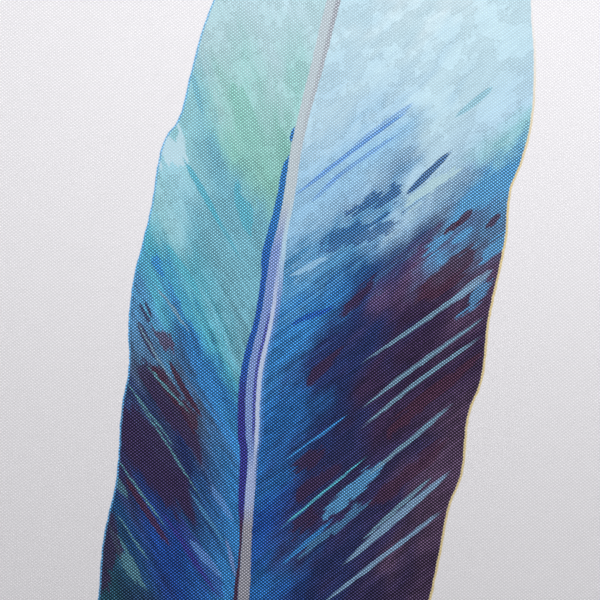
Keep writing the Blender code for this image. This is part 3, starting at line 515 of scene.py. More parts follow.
def printed_cloth(name, show_through):
    """White plain-woven polyester with a water-colour feather printed on it, and painted highlight and shade
    on its threads where the ink is dark.
    """
    f = Finish(name)
    x, z = f.cut_place()
    wander = f.noise(f.vector(x, z), 0.55, 2.0, 0.5, None, "2D") - 0.5
    x_print = x + wander * 0.3
    share = (z - FEATHER_FOOT) / (FEATHER_TIP - FEATHER_FOOT)
    shaft = f.curve(share, by_height(SHAFT, ACROSS)) * ACROSS
    left_edge = f.curve(share, by_height(LEFT_EDGE, ACROSS)) * ACROSS
    right_edge = f.curve(share, by_height(RIGHT_EDGE, ACROSS)) * ACROSS
    half = f.curve(share, by_height(SHAFT_HALF, NARROW)) * NARROW
    dark = f.curve(share, by_height(DARK_LINE, NARROW)) * NARROW

    right = vane(
        f, x - shaft, right_edge - shaft, z, RIGHT_BARB_RISE,
        [RIGHT_BY_SHAFT, RIGHT_INNER, RIGHT_OUTER, RIGHT_BY_EDGE], RIGHT_STROKES,
    )
    left = vane(
        f, shaft - x, shaft - left_edge, z, LEFT_BARB_RISE,
        [LEFT_BY_SHAFT, LEFT_MIDDLE, LEFT_BY_EDGE], LEFT_STROKES,
    )
    vanes = f.mix((x - shaft).smooth(-0.2, 0.2), left, right)

    from_left = x_print - left_edge
    from_right = right_edge - x_print
    vanes = f.mix(from_left.smooth(0.55, 0.1) * 0.8, vanes, ink(INKS["lagoon"]))
    inside = from_left.smooth(-0.15, 0.15) * from_right.smooth(-0.15, 0.15)
    white = ink(INKS["cloth"])
    fringe = abs(from_right + 0.2).smooth(0.4, 0.1) * z.smooth(548, 500)
    colour = f.mix(fringe * 0.75, white, ink(INKS["gold"]))
    colour = f.mix(inside, colour, vanes)
    colour = shaft_inks(f, colour, z, x_print - shaft, half, dark)
    on_feather = share.smooth(0.0, 0.01) * share.smooth(0.985, 0.96)
    colour = f.mix(on_feather, white, colour)

    dome = weave_height(x, z)
    slub = f.noise(f.vector(x, z), 1.0, 1.0, 0.5, (2.2, 2.8, 0.0), "2D") - 0.5
    dot = dome * (1.0 + slub * 0.9)
    # The weave's pattern in the colour. Where the ink is dark it is pushed much harder: a painted highlight
    # on the thread crowns and painted shade in the gaps between them, partly also the undyed thread that the
    # ink doesn't reach.
    brightness = Value(f, f.node("ShaderNodeRGBToBW", None, {0: colour}).outputs[0])
    weave_and_painted_light_depth = 0.32 + brightness.smooth(0.75, 0.0) * 3.4
    woven = f.grey((1.0 + (dot - 0.2) * weave_and_painted_light_depth).at_least(0.02))
    colour = f.mix(1.0, colour, woven, "MULTIPLY")
    # Painted highlight: a pale bluish tint on the thread crowns where the ink is dark.
    glint = dot * brightness.smooth(0.5, 0.0) * 0.05
    colour = f.mix(glint, colour, ink(INKS["glint"]))
    if show_through < 1.0:
        colour = f.mix(1.0 - show_through, colour, ink(INKS["undyed"]))
    rough = 0.82 - dome * 0.12 + slub * 0.05
    normal = f.bump(dome + slub * 0.3, 0.06 * MM, 0.6)
    return f.finish(base_color=colour, roughness=rough, normal=normal, specular_ior_level=0.1)


# ---------------------------------------------------------------- other finishes


def plain_cloth(name, colour):
    """Undyed cloth of the sleeve and the foot patch, its threads by the piece's own cut map."""
    f = Finish(name)
    x, z = f.cut_place()
    dome = weave_height(x, z)
    slub = f.noise(f.vector(x, z), 0.9, 3.0, 0.6, (1.0, 0.25, 0.0), "2D") - 0.5
    soil = f.noise(f.vector(x, z), 0.03, 3.0, 0.6, None, "2D") - 0.5
    shade = f.grey(1.0 + (dome - 0.2) * 0.16 + slub * 0.08 + soil * 0.08)
    base = f.mix(1.0, ink(colour), shade, "MULTIPLY")
    normal = f.bump(dome + slub * 0.5, 0.08 * MM, 0.6)
    return f.finish(
        base_color=base, roughness=0.84 + slub * 0.1, normal=normal,
        specular_ior_level=0.25, sheen_weight=0.12,
    )


def webbing_cloth():
    """Heavy ribbed webbing of the tip pocket."""
    f = Finish("webbing")
    x, z = f.cut_place()
    rib = (x * (math.pi / 0.9)).sin()
    pick = (z * (math.pi / 0.55)).sin()
    woven = (rib * pick).at_least(0.0) + abs(rib) * 0.6
    fuzz = f.noise(f.vector(x, z), 1.6, 3.0, 0.6, None, "2D") - 0.5
    shade = f.grey(0.9 + woven * 0.14 + fuzz * 0.16)
    base = f.mix(1.0, ink("dcdce2"), shade, "MULTIPLY")
    return f.finish(
        base_color=base, roughness=0.85 - woven * 0.08,
        normal=f.bump(woven + fuzz * 0.4, 0.25 * MM, 0.8), specular_ior_level=0.25, sheen_weight=0.1,
    )


def sewing_thread():
    """Twisted polyester thread."""
    f = Finish("sewing_thread")
    x, y, z = f.parts(f.own_place())
    twist = ((x + y + z) * (2 * math.pi / (0.35 * MM))).sin()
    base = f.mix(0.5 + twist * 0.5, ink("cfcfd6"), ink("f4f4f8"))
    return f.finish(
        base_color=base, roughness=0.62 + twist * 0.08, normal=f.bump(twist, 0.03 * MM, 0.7),
        specular_ior_level=0.35, sheen_weight=0.2,
    )


def powder_coat():
    """Fine-textured black powder coat, rubbed a little paler and smoother on what gets handled."""
    f = Finish("powder_coat")
    place = f.own_place()
    pebble = f.noise(place, 1500.0, 2.0, 0.5)
    broad = f.noise(place, 60.0, 4.0, 0.6)
    scuff = f.noise(place, 260.0, 5.0, 0.7, (1.0, 1.0, 3.0)).smooth(0.62, 0.78)
    dust = broad.smooth(0.45, 0.8)
    base = f.mix(dust * 0.35, ink("202123"), ink("35373a"))
    base = f.mix(scuff * 0.45, base, ink("55585c"))
    rough = 0.46 + broad * 0.16 - scuff * 0.1 + dust * 0.06
    return f.finish(
        base_color=base, roughness=rough, metallic=0.0,
        normal=f.bump(pebble + scuff * -0.3, 0.12 * MM, 0.55), specular_ior_level=0.5,
    )


def zinc_steel():
    """Bright zinc plate with faint blue and straw clouds and fine scratches."""
    f = Finish("zinc_steel")
    place = f.own_place()
    clouds = f.noise(place, 180.0, 4.0, 0.6)
    fine = f.noise(place, 2400.0, 2.0, 0.6, (1.0, 1.0, 0.15))
    base = f.mix(clouds.smooth(0.3, 0.7), ink("c3c9cf"), ink("dcd6c6"))
    base = f.mix(fine.smooth(0.6, 0.8) * 0.3, base, ink("8f949a"))
    return f.finish(
        base_color=base, roughness=0.26 + clouds * 0.14 + fine * 0.1, metallic=1.0,
        normal=f.bump(fine, 0.02 * MM, 0.6),
    )


def satin_aluminium():
    """Drawn tube, satin anodised: long draw lines, soft clouding and a few rub marks round it."""
    f = Finish("satin_aluminium")
    place = f.own_place()
    draw = f.noise(place, 5200.0, 3.0, 0.6, (1.0, 1.0, 0.012))
    clouds = f.noise(place, 70.0, 3.0, 0.6)
    rings = f.noise(place, 900.0, 2.0, 0.7, (0.05, 0.05, 1.0)).smooth(0.62, 0.75)
    base = f.mix(draw, ink("c2c5ca"), ink("dcdee2"))
    base = f.mix(rings * 0.35, base, ink("8d9096"))
    return f.finish(
        base_color=base, roughness=0.3 + draw * 0.12 + clouds * 0.1, metallic=1.0,
        normal=f.bump(draw + rings * 0.4, 0.03 * MM, 0.7),
    )


def fibreglass():
    """Pultruded rod: black resin over long glass rovings that just show through."""
    f = Finish("fibreglass")
    place = f.own_place()
    roving = f.noise(place, 3200.0, 3.0, 0.6, (1.0, 1.0, 0.01))
    clouds = f.noise(place, 90.0, 3.0, 0.6)
    base = f.mix(roving.smooth(0.45, 0.8) * 0.6, ink("1c1d20"), ink("4a4d52"))
    return f.finish(
        base_color=base, roughness=0.28 + clouds * 0.16 + roving * 0.08,
        normal=f.bump(roving, 0.03 * MM, 0.6), coat_weight=0.25, coat_roughness=0.2,
    )


def black_nylon():
    """Moulded nylon with a fine spark texture and a little bloom."""
    f = Finish("black_nylon")
    place = f.own_place()
    grain = f.noise(place, 2600.0, 2.0, 0.6)
    bloom = f.noise(place, 140.0, 4.0, 0.6).smooth(0.4, 0.8)
    base = f.mix(bloom * 0.5, ink("17181a"), ink("2c2d30"))
    return f.finish(
        base_color=base, roughness=0.42 + grain * 0.12 + bloom * 0.1, normal=f.bump(grain, 0.05 * MM, 0.5),
    )


def natural_acetal():
    """Waxy off-white bearing plastic, greyed where it runs."""
    f = Finish("natural_acetal")
    place = f.own_place()
    clouds = f.noise(place, 220.0, 4.0, 0.6)
    turn_marks = f.noise(place, 3000.0, 2.0, 0.5, (0.02, 0.02, 1.0))
    base = f.mix(clouds.smooth(0.5, 0.8) * 0.5, ink("e8e5dc"), ink("b9b5aa"))
    return f.finish(
        base_color=base, roughness=0.34 + clouds * 0.14, normal=f.bump(turn_marks, 0.02 * MM, 0.5),
    )


def soft_rubber():
    """Matte rubber with dust in its pores."""
    f = Finish("soft_rubber")
    place = f.own_place()
    pores = f.noise(place, 1800.0, 3.0, 0.7)
    dust = f.noise(place, 200.0, 4.0, 0.65).smooth(0.4, 0.75)
    base = f.mix(dust * 0.5, ink("151515"), ink("343332"))
    return f.finish(
        base_color=base, roughness=0.8 + dust * 0.12, normal=f.bump(pores, 0.08 * MM, 0.5),
        specular_ior_level=0.3,
    )


def nickel():
    """Nickel-plated brass, with hairlines and a warm tint in its low places."""
    f = Finish("nickel")
    place = f.own_place()
    hair = f.noise(place, 3800.0, 2.0, 0.6, (1.0, 1.0, 0.1))
    warm = f.noise(place, 300.0, 3.0, 0.6)
    base = f.mix(warm.smooth(0.4, 0.8) * 0.7, ink("d6d4ce"), ink("b9ad94"))
    return f.finish(
        base_color=base, roughness=0.2 + warm * 0.14 + hair * 0.1, metallic=1.0,
        normal=f.bump(hair, 0.015 * MM, 0.6),
    )


def elastic_braid():
    """Black braided jacket with a pale tracer in the braid."""
    f = Finish("elastic_braid")
    along, around = f.cut_place()
    right_lay = (along * 2.6 + around * 4).sin()
    left_lay = (along * 2.6 - around * 4).sin()
    braid = right_lay.at_least(left_lay)
    tracer = (along * 1.3 + around * 2).sin().smooth(0.9, 0.98)
    base = f.mix(0.5 + braid * 0.5, ink("101012"), ink("2b2c30"))
    base = f.mix(tracer * 0.6, base, ink("c8c8cc"))
    return f.finish(
        base_color=base, roughness=0.8 - braid * 0.12, normal=f.bump(braid, 0.12 * MM, 0.8),
        sheen_weight=0.15,
    )


# ---------------------------------------------------------------- meshes


def solid(name, points, faces, material, cut=None):
    """A smooth-shaded mesh object. cut gives each point's (x, z) on the flat cut, in millimetres."""
    mesh = bpy.data.meshes.new(name)
    mesh.from_pydata([tuple(p) for p in points], [], faces)
    mesh.update()
    mesh.materials.append(material)
    mesh.shade_smooth()
    if cut is not None:
        layer = mesh.uv_layers.new(name=CUT_MAP)
        for loop in mesh.loops:
            layer.data[loop.index].uv = cut[loop.vertex_index]
    made = bpy.data.objects.new(name, mesh)
    bpy.context.scene.collection.objects.link(made)
    return made


def applied(obj):
    """The object with its modifiers made part of its mesh."""
    graph = bpy.context.evaluated_depsgraph_get()
    shown = obj.evaluated_get(graph)
    mesh = bpy.data.meshes.new_from_object(shown, preserve_all_data_layers=True, depsgraph=graph)
    old = obj.data
    obj.modifiers.clear()
    obj.data = mesh
    bpy.data.meshes.remove(old)
    mesh.name = obj.name
    return obj


def thickened(obj, thickness, back=None):
    """A closed sheet, half its thickness on each side. back is the material of its far face."""
    if back is not None:
        obj.data.materials.append(back)
    wall = obj.modifiers.new("Cloth", "SOLIDIFY")
    wall.thickness = thickness
    wall.offset = 0.0
    wall.use_even_offset = True
    if back is not None:
        wall.material_offset = 1
    return applied(obj)


def tube_faces(rings, sides):
    """Quads between rings of points that each close on themselves."""
    faces = []
    for i in range(rings - 1):
        for k in range(sides):
            a, b = i * sides + k, i * sides + (k + 1) % sides
            faces.append([a, b, b + sides, a + sides])
    return faces


def strip_faces(rows, wide):
    """Quads between open rows of points."""
    faces = []
    for i in range(rows - 1):
        for k in range(wide - 1):
            a = i * wide + k
            faces.append([a, a + 1, a + 1 + wide, a + wide])
    return faces


def pole_line(runout=0.0, steps_between=1):
    """The bent part of the pole's axis, as (x, z, heading), with heading 0 being straight up."""
    x, z = 0.0, BEND_START
    step = BEND_LENGTH / BEND_STEPS
    line = [(x, z, 0.0)]
    for i in range(BEND_STEPS):
        middle = BEND_ANGLE * ((i + 0.5) / BEND_STEPS) ** BEND_POWER
        for k in range(steps_between):
            share = (i + (k + 1) / steps_between) / BEND_STEPS
            x += math.sin(middle) * step / steps_between
            z += math.cos(middle) * step / steps_between
            line.append((x, z, BEND_ANGLE * share**BEND_POWER))
    if runout:
        line.append((x + math.sin(BEND_ANGLE) * runout, z + math.cos(BEND_ANGLE) * runout, BEND_ANGLE))
    return line


def sleeve_line(foot, spacing=3 * MM):
    """The pole's axis from the sail's foot to the sleeve's upper end, as (x, z, heading, length so far)."""
    straight = round((BEND_START - foot) / spacing)
    line = [(0.0, foot + (BEND_START - foot) * i / straight, 0.0) for i in range(straight)]
    line += pole_line(SLEEVE_RUNOUT, 4)
    found = []
    length = 0.0
    for i, (x, z, heading) in enumerate(line):
        if i:
            length += math.hypot(x - line[i - 1][0], z - line[i - 1][1])
        found.append((x, z, heading, length))
    return found


def beside_pole(station, out, aside=0.0):
    """The point that lies out from the pole's axis towards the sail, and aside along Y."""
    x, z, heading = station[:3]
    return Vector((x + math.cos(heading) * out, aside, z - math.sin(heading) * out))


def sewn_line(stations):
    """Where the sail is sewn to the sleeve, from its foot to the tip."""
    return [beside_pole(s, SEWN_AT) for s in stations]


# ---------------------------------------------------------------- the sail


def cut_outline(node):
    """The sail's edge in XZ, and the middle of its grommet hole, from the front face of the frame's sail."""
    mesh = bmesh.new()
    mesh.from_mesh(node.data)
    bmesh.ops.remove_doubles(mesh, verts=mesh.verts, dist=0.01 * MM)
    nexts = {}
    for edge in mesh.edges:
        if sum(face.normal.y < -0.9 for face in edge.link_faces) == 1:
            a, b = (tuple(v.co) for v in edge.verts)
            nexts.setdefault(a, []).append(b)
            nexts.setdefault(b, []).append(a)
    mesh.free()
    loops = []
    while nexts:
        loop = [next(iter(nexts))]
        while True:
            onward = [p for p in nexts.pop(loop[-1], []) if p in nexts]
            if not onward:
                break
            loop.append(onward[0])
        loops.append([Vector((p[0], 0.0, p[2])) for p in loop])
    loops.sort(key=len)
    hole = sum(loops[0], Vector()) / len(loops[0])
    return loops[-1], hole


def evenly(points, spacing, closed=True):
    """Points about spacing apart along a line, starting from its first point."""
    line = points + [points[0]] if closed else points
    lengths = [0.0]
    for a, b in zip(line, line[1:]):
        lengths.append(lengths[-1] + (b - a).length)
    count = max(2, round(lengths[-1] / spacing))
    found = []
    k = 0
    for i in range(count if closed else count + 1):
        at = lengths[-1] * i / count
        while k < len(lengths) - 2 and lengths[k + 1] < at:
            k += 1
        share = (at - lengths[k]) / max(lengths[k + 1] - lengths[k], 1e-9)
        found.append(line[k].lerp(line[k + 1], min(1.0, share)))
    return found


def inside(point, outline):
    """Whether a point of the XZ plane lies inside a closed outline."""
    found = False
    for a, b in zip(outline, outline[1:] + outline[:1]):
        if (a.z > point.z) != (b.z > point.z):
            if point.x < a.x + (point.z - a.z) * (b.x - a.x) / (b.z - a.z):
                found = not found
    return found


def distance_to(point, outline):
    best = 1.0
    for a, b in zip(outline, outline[1:] + outline[:1]):
        along = b - a
        t = max(0.0, min(1.0, (point - a).dot(along) / max(along.length_squared, 1e-12)))
        best = min(best, (point - a - along * t).length)
    return best


def flat_lattice(outline, spacing):
    """The flat cut as even triangles: points on the edge, and staggered rows inside."""
    edge = evenly(outline, spacing * 0.8)
    coarse = evenly(outline, spacing * 3)
    points = [Vector((p.x, p.z)) for p in edge]
    low_x, high_x = min(p.x for p in edge), max(p.x for p in edge)
    low_z, high_z = min(p.z for p in edge), max(p.z for p in edge)
    row_height = spacing * math.sqrt(3) / 2
    for row in range(int((high_z - low_z) / row_height) + 1):
        z = low_z + row * row_height
        for column in range(int((high_x - low_x) / spacing) + 2):
            p = Vector((low_x + (column + 0.5 * (row % 2)) * spacing, 0.0, z))
            if inside(p, edge) and distance_to(p, coarse) > 0.55 * spacing:
                points.append(Vector((p.x, p.z)))
    ring = [(i, (i + 1) % len(edge)) for i in range(len(edge))]
    places, _, faces, *_ = delaunay_2d_cdt(points, ring, [], 1, 1e-7)
    return [Vector((p.x, 0.0, p.y)) for p in places], [list(face) for face in faces]


def held_share(point, luff):
    """1 where the cloth is sewn to the sleeve, falling to 0 further out."""
    return max(0.0, min(1.0, 1.0 - (distance_to(point, luff) - HELD_WIDTH) / (2 * LATTICE)))


def hung(flat, faces, luff):
    """Where the points of the flat cut go when it hangs from the sleeve in a light, steady breeze."""
    scene = bpy.context.scene
    trial = solid("sail_trial", flat, faces, bpy.data.materials.new("trial"))
    group = trial.vertex_groups.new(name="held")
    for i, p in enumerate(flat):
        group.add([i], held_share(p, luff), "REPLACE")
    cloth = trial.modifiers.new("Cloth", "CLOTH")
    settings = cloth.settings
    settings.vertex_group_mass = "held"
    settings.quality = 8
    settings.mass = 0.02
    settings.tension_stiffness = 25.0
    settings.compression_stiffness = 25.0
    settings.shear_stiffness = 8.0
    settings.bending_stiffness = 0.6
    settings.air_damping = 2.0
    cloth.collision_settings.use_collision = False
    gravity = tuple(scene.gravity)
    scene.gravity = (0.35, 0.75, -1.6)
    for frame in range(1, 26):
        scene.frame_set(frame)
    graph = bpy.context.evaluated_depsgraph_get()
    found = [v.co.copy() for v in trial.evaluated_get(graph).data.vertices]
    scene.frame_set(1)
    scene.gravity = gravity
    bpy.data.objects.remove(trial)
    return found


def rippled(p, luff):
    """The soft folds left in the cloth by the pull of the foot and the bend, before the breeze takes it."""
    out = max(0.0, distance_to(p, luff) - HELD_WIDTH)
    along = (p.z - 0.3 * p.x) / MM
    fold = math.sin(along / 27.0 + 0.6) * 0.55 + math.sin(along / 61.0 + 2.1) * 0.9
    reach = 1 - math.exp(-out / (45 * MM))
    return Vector((p.x, fold * reach * 2.2 * MM, p.z))


def capped(flat, places, furthest):
    """The hung places, with each point's move limited to furthest, softly."""
    found = []
    for p, q in zip(flat, places):
        move = q - p
        length = move.length
        found.append(p + move * (furthest * math.tanh(length / furthest) / length) if length > 1e-9 else q)
    return found


def finer(points, faces):
    """One round of subdivision, as points and faces. The same faces give the same order of points."""
    trial = solid("finer_trial", points, faces, bpy.data.materials.new("trial"))
    rounds = trial.modifiers.new("Finer", "SUBSURF")
    rounds.levels = 1
    rounds.boundary_smooth = "PRESERVE_CORNERS"
    applied(trial)
    places = [v.co.copy() for v in trial.data.vertices]
    shapes = [list(face.vertices) for face in trial.data.polygons]
    bpy.data.objects.remove(trial)
    return places, shapes


class HungSail:
    """Takes a point of the flat cut to its place on the hung sail."""

    def __init__(self, flat, places, faces):
        self.triangles = [(f[0], f[i], f[i + 1]) for f in faces for i in range(1, len(f) - 1)]
        self.tree = BVHTree.FromPolygons(flat, self.triangles)
        self.flat = flat
        self.places = places
        self.normals = [Vector() for _ in places]
        for a, b, c in self.triangles:
            normal = (places[b] - places[a]).cross(places[c] - places[a])
            if normal.y > 0:
                normal.negate()
            for i in (a, b, c):
                self.normals[i] += normal
        for normal in self.normals:
            normal.normalize()

    def at(self, point, lift=0.0):
        """The hung place of a point of the cut, lifted off the cloth's middle towards the front."""
        near, _, index, _ = self.tree.find_nearest(Vector((point.x, 0.0, point.z)))
        a, b, c = (self.flat[i] for i in self.triangles[index])
        whole = (b - a).cross(c - a).y
        share_b = (near - a).cross(c - a).y / whole
        share_c = (b - a).cross(near - a).y / whole
        shares = (1 - share_b - share_c, share_b, share_c)
        corners = self.triangles[index]
        place = sum((self.places[i] * s for i, s in zip(corners, shares)), Vector())
        normal = sum((self.normals[i] * s for i, s in zip(corners, shares)), Vector()).normalized()
        past = Vector((point.x, 0.0, point.z)) - near
        return place + past + normal * lift, normal


def build_sail(outline, stations, front, back):
    """The sail as one thin sheet of cloth, the map from its flat cut, and the area of that cut."""
    luff = sewn_line(stations)
    luff_loop = luff + luff[::-1]
    flat, faces = flat_lattice(outline, LATTICE)
    start = [rippled(p, luff_loop) for p in flat]
    places = start
    places = capped(start, hung(start, faces, luff_loop), FURTHEST_MOVE)
    fine_flat, fine_faces = finer(flat, faces)
    fine_places, _ = finer(places, faces)
    cut = [(p.x / MM, p.z / MM) for p in fine_flat]
    sail = solid("sail_cloth", fine_places, fine_faces, front, cut)
    turn_to_front(sail)
    thickened(sail, CLOTH_T, back)
    area = sum((flat[f[1]] - flat[f[0]]).cross(flat[f[2]] - flat[f[0]]).length / 2 for f in faces)
    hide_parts("sail")
    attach(sail, "mast")
    return sail, HungSail(fine_flat, fine_places, fine_faces), area


def turn_to_front(obj):
    """Turns every face of a sheet so that its front looks towards -Y."""
    mesh = bmesh.new()
    mesh.from_mesh(obj.data)
    bmesh.ops.recalc_face_normals(mesh, faces=mesh.faces)
    mesh.faces.ensure_lookup_table()
    if sum(face.normal.y * face.calc_area() for face in mesh.faces) > 0:
        bmesh.ops.reverse_faces(mesh, faces=mesh.faces)
    mesh.to_mesh(obj.data)
    mesh.free()


# ---------------------------------------------------------------- sewing


class Stitches:
    """Short loops of thread, gathered into one mesh."""

    SIDES = 6
    RINGS = ((-0.5, 0.35, -0.7), (-0.36, 0.85, 0.0), (0.0, 1.0, 0.25), (0.36, 0.85, 0.0), (0.5, 0.35, -0.7))

    def __init__(self):
        self.points = []
        self.faces = []

    def add(self, middle, along, off):
        """One stitch, lying along a direction on the face that off points away from."""
        first = len(self.points)
        across = off.cross(along).normalized()
        for share, size, rise in self.RINGS:
            centre = middle + along * (share * STITCH) + off * (rise * THREAD_R)
            for k in range(self.SIDES):
                a = 2 * math.pi * k / self.SIDES
                self.points.append(centre + (across * math.cos(a) + off * math.sin(a)) * (THREAD_R * size))
        for ring in range(len(self.RINGS) - 1):
            for k in range(self.SIDES):
                a = first + ring * self.SIDES + k
                b = first + ring * self.SIDES + (k + 1) % self.SIDES
                self.faces.append([a, b, b + self.SIDES, a + self.SIDES])
        last = first + (len(self.RINGS) - 1) * self.SIDES
        self.faces.append([first + k for k in reversed(range(self.SIDES))])
        self.faces.append([last + k for k in range(self.SIDES)])

    def row(self, line, place, closed=False):
        """A row of stitches along a line. place turns a point of the line into (point, outward direction)."""
        seats = [place(p) for p in evenly(line, STITCH + STITCH_GAP, closed)]
        pairs = list(zip(seats, seats[1:] + (seats[:1] if closed else [])))
        for (a, off_a), (b, off_b) in pairs:
            off = (off_a + off_b).normalized()
            along = (b - a).normalized()
            self.add((a + b) / 2, (along - off * along.dot(off)).normalized(), off)

    def make(self, name, material, body, slot_name):
        made = solid(name, self.points, self.faces, material)
        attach(made, body)
        return made


def parallel(line, distance):
    """An open line of the XZ plane moved sideways, to the left of the way it runs."""
    found = []
    for i, p in enumerate(line):
        along = (line[min(i + 1, len(line) - 1)] - line[max(i - 1, 0)]).normalized()
        found.append(p + Vector((-along.z, 0.0, along.x)) * distance)
    return found


def free_edge(outline, stations):
    """The part of the sail's outline that isn't sewn to the sleeve, from the foot to the tip."""
    luff = sewn_line(stations)
    luff_loop = luff + luff[::-1]
    loose = [distance_to(p, luff_loop) > 0.4 * MM for p in outline]
    count = len(outline)
    start = next(i for i in range(count) if loose[i] and not loose[i - 1])
    run = []
    while loose[start % count]:
        run.append(outline[start % count])
        start += 1
    if run[0].z > run[-1].z:
        run.reverse()
    foot, tip = luff[0], luff[-1]
    return [foot, *run, tip]


def build_hem(cloth_map, edge, cloth, thread):
    """The free edge turned over twice and sewn down: a thicker band, and a row of stitches on each face."""
    line = evenly(edge, 2.5 * MM, closed=False)
    inward = parallel(line, HEM_WIDTH)
    middle = sum(line, Vector()) / len(line)
    if (inward[len(line) // 2] - middle).length > (line[len(line) // 2] - middle).length:
        inward = parallel(line, -HEM_WIDTH)
    thick = CLOTH_T * 1.1
    upper = [(1.0, 0.7), (0.93, 1.25), (0.5, 1.4), (0.1, 1.3), (-0.03, 0.7)]  # share of the width, lift
    bands = upper + [(share, -lift) for share, lift in reversed(upper)]
    points, cut = [], []
    for i, (outer, inner) in enumerate(zip(line, inward)):
        pucker = 0.10 * noise.noise(Vector((i * 0.55, 0.0, 3.0)))
        for share, lift in bands:
            p = outer.lerp(inner, share)
            place, _ = cloth_map.at(p, (lift * (1 + pucker)) * thick / 2)
            points.append(place)
            cut.append((p.x / MM, p.z / MM))
    wide = len(bands)
    faces = tube_faces(len(line), wide)
    faces.append(list(range(wide)))
    faces.append([(len(line) - 1) * wide + k for k in reversed(range(wide))])
    hem = solid("sail_hem", points, faces, cloth, cut)
    turn_outward(hem)
    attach(hem, "mast")
    rows = Stitches()
    for share in (0.84, 0.22):
        sewn = [a.lerp(b, share) for a, b in zip(line, inward)]
        for side in (1, -1):
            rows.row(sewn, lambda p, side=side: lifted(cloth_map, p, side, thick * 0.62 + THREAD_R * 0.5))
    return hem, rows.make("hem_stitching", thread, "mast", "printed_cloth")


def lifted(cloth_map, p, side, lift):
    place, normal = cloth_map.at(p, side * lift)
    return place, normal * side


def turn_outward(obj):
    mesh = bmesh.new()
    mesh.from_mesh(obj.data)
    bmesh.ops.recalc_face_normals(mesh, faces=mesh.faces)
    mesh.to_mesh(obj.data)
    mesh.free()


# ---------------------------------------------------------------- sleeve, pocket, grommet and cord


def sleeve_section():
    """The sleeve's cross-section from its front lip round the pole to its back lip, as (out, aside)."""
    radius = 5.5 * MM
    touch = math.acos(radius / SEAM_AT)
    turns = 26
    lip_middle = (SEAM_ALLOWANCE + SEAM_AT) / 2
    front = [(SEAM_ALLOWANCE, -0.36 * MM), (lip_middle, -0.34 * MM), (SEAM_AT, -0.40 * MM)]
    round_pole = []
    for i in range(turns + 1):
        a = touch + (2 * math.pi - 2 * touch) * i / turns
        round_pole.append((radius * math.cos(a), -radius * math.sin(a)))
    seam, start = Vector(front[-1]), Vector(round_pole[0])
    wall = [tuple(seam + (start - seam) * t) for t in (0.33, 0.67)]
    half = front + wall
    return half + round_pole + [(out, -aside) for out, aside in reversed(half)]


def build_sleeve(stations, cloth, thread):
    """The pole pocket: one strip of cloth folded round the pole, its two lips sewn to the sail's edge."""
    section = sleeve_section()
    girth = [0.0]
    for a, b in zip(section, section[1:]):
        girth.append(girth[-1] + math.dist(a, b))
    points, cut = [], []
    wide = len(section)
    for s in stations:
        for k, (out, aside) in enumerate(section):
            loose = 1.0 if 4 < k < wide - 5 else 0.0
            around = math.atan2(aside, out)
            at = Vector((around * 1.3, s[3] / (9 * MM) + around * 0.8, 1.7))
            crease = noise.noise(at) * 0.24 + noise.noise(at * 2.7) * 0.10
            grow = 1 + loose * crease * 0.5 * MM / math.hypot(out, aside)
            points.append(beside_pole(s, out * grow, aside * grow))
            cut.append((girth[k] / MM, s[3] / MM))
    sleeve = solid("sleeve_cloth", points, strip_faces(len(stations), wide), cloth, cut)
    thickened(sleeve, SLEEVE_T)
    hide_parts("pole_sleeve")
    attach(sleeve, "mast")

    rows = Stitches()
    for out in (SEAM_AT + 0.75 * MM, SEAM_ALLOWANCE - 0.75 * MM):
        line = [beside_pole(s, out) for s in stations]
        for side in (1, -1):
            lift = Vector((0.0, -side * (0.36 + 0.13 + 0.08) * MM, 0.0))
            rows.row(line, lambda p, lift=lift, side=side: (p + lift, Vector((0.0, -side, 0.0))))
    foot = stations[1]
    around = []
    for out, aside in section:
        around.append(beside_pole(foot, out, aside) + Vector((0.0, 0.0, 1.2 * MM)))

    def outside(p):
        on_lip = p.x >= 5 * MM
        off = Vector((0.35, math.copysign(1.0, p.y), 0.0)) if on_lip else Vector((p.x, p.y, 0.0)).normalized()
        off.normalize()
        return p + off * 0.22 * MM, off

    rows.row(around, outside)
    flat = (girth[-1], stations[-1][3] - stations[0][3])
    return sleeve, rows.make("seam_stitching", thread, "mast", "printed_cloth"), flat


def pole_end_frame():
    """The frame whose Z runs out of the pole's tip, with its origin on the tip."""
    x, z, heading = pole_line(STRAIGHT_END)[-1]
    return Matrix.Translation((x, 0.0, z)) @ Matrix.Rotation(heading, 4, "Y")


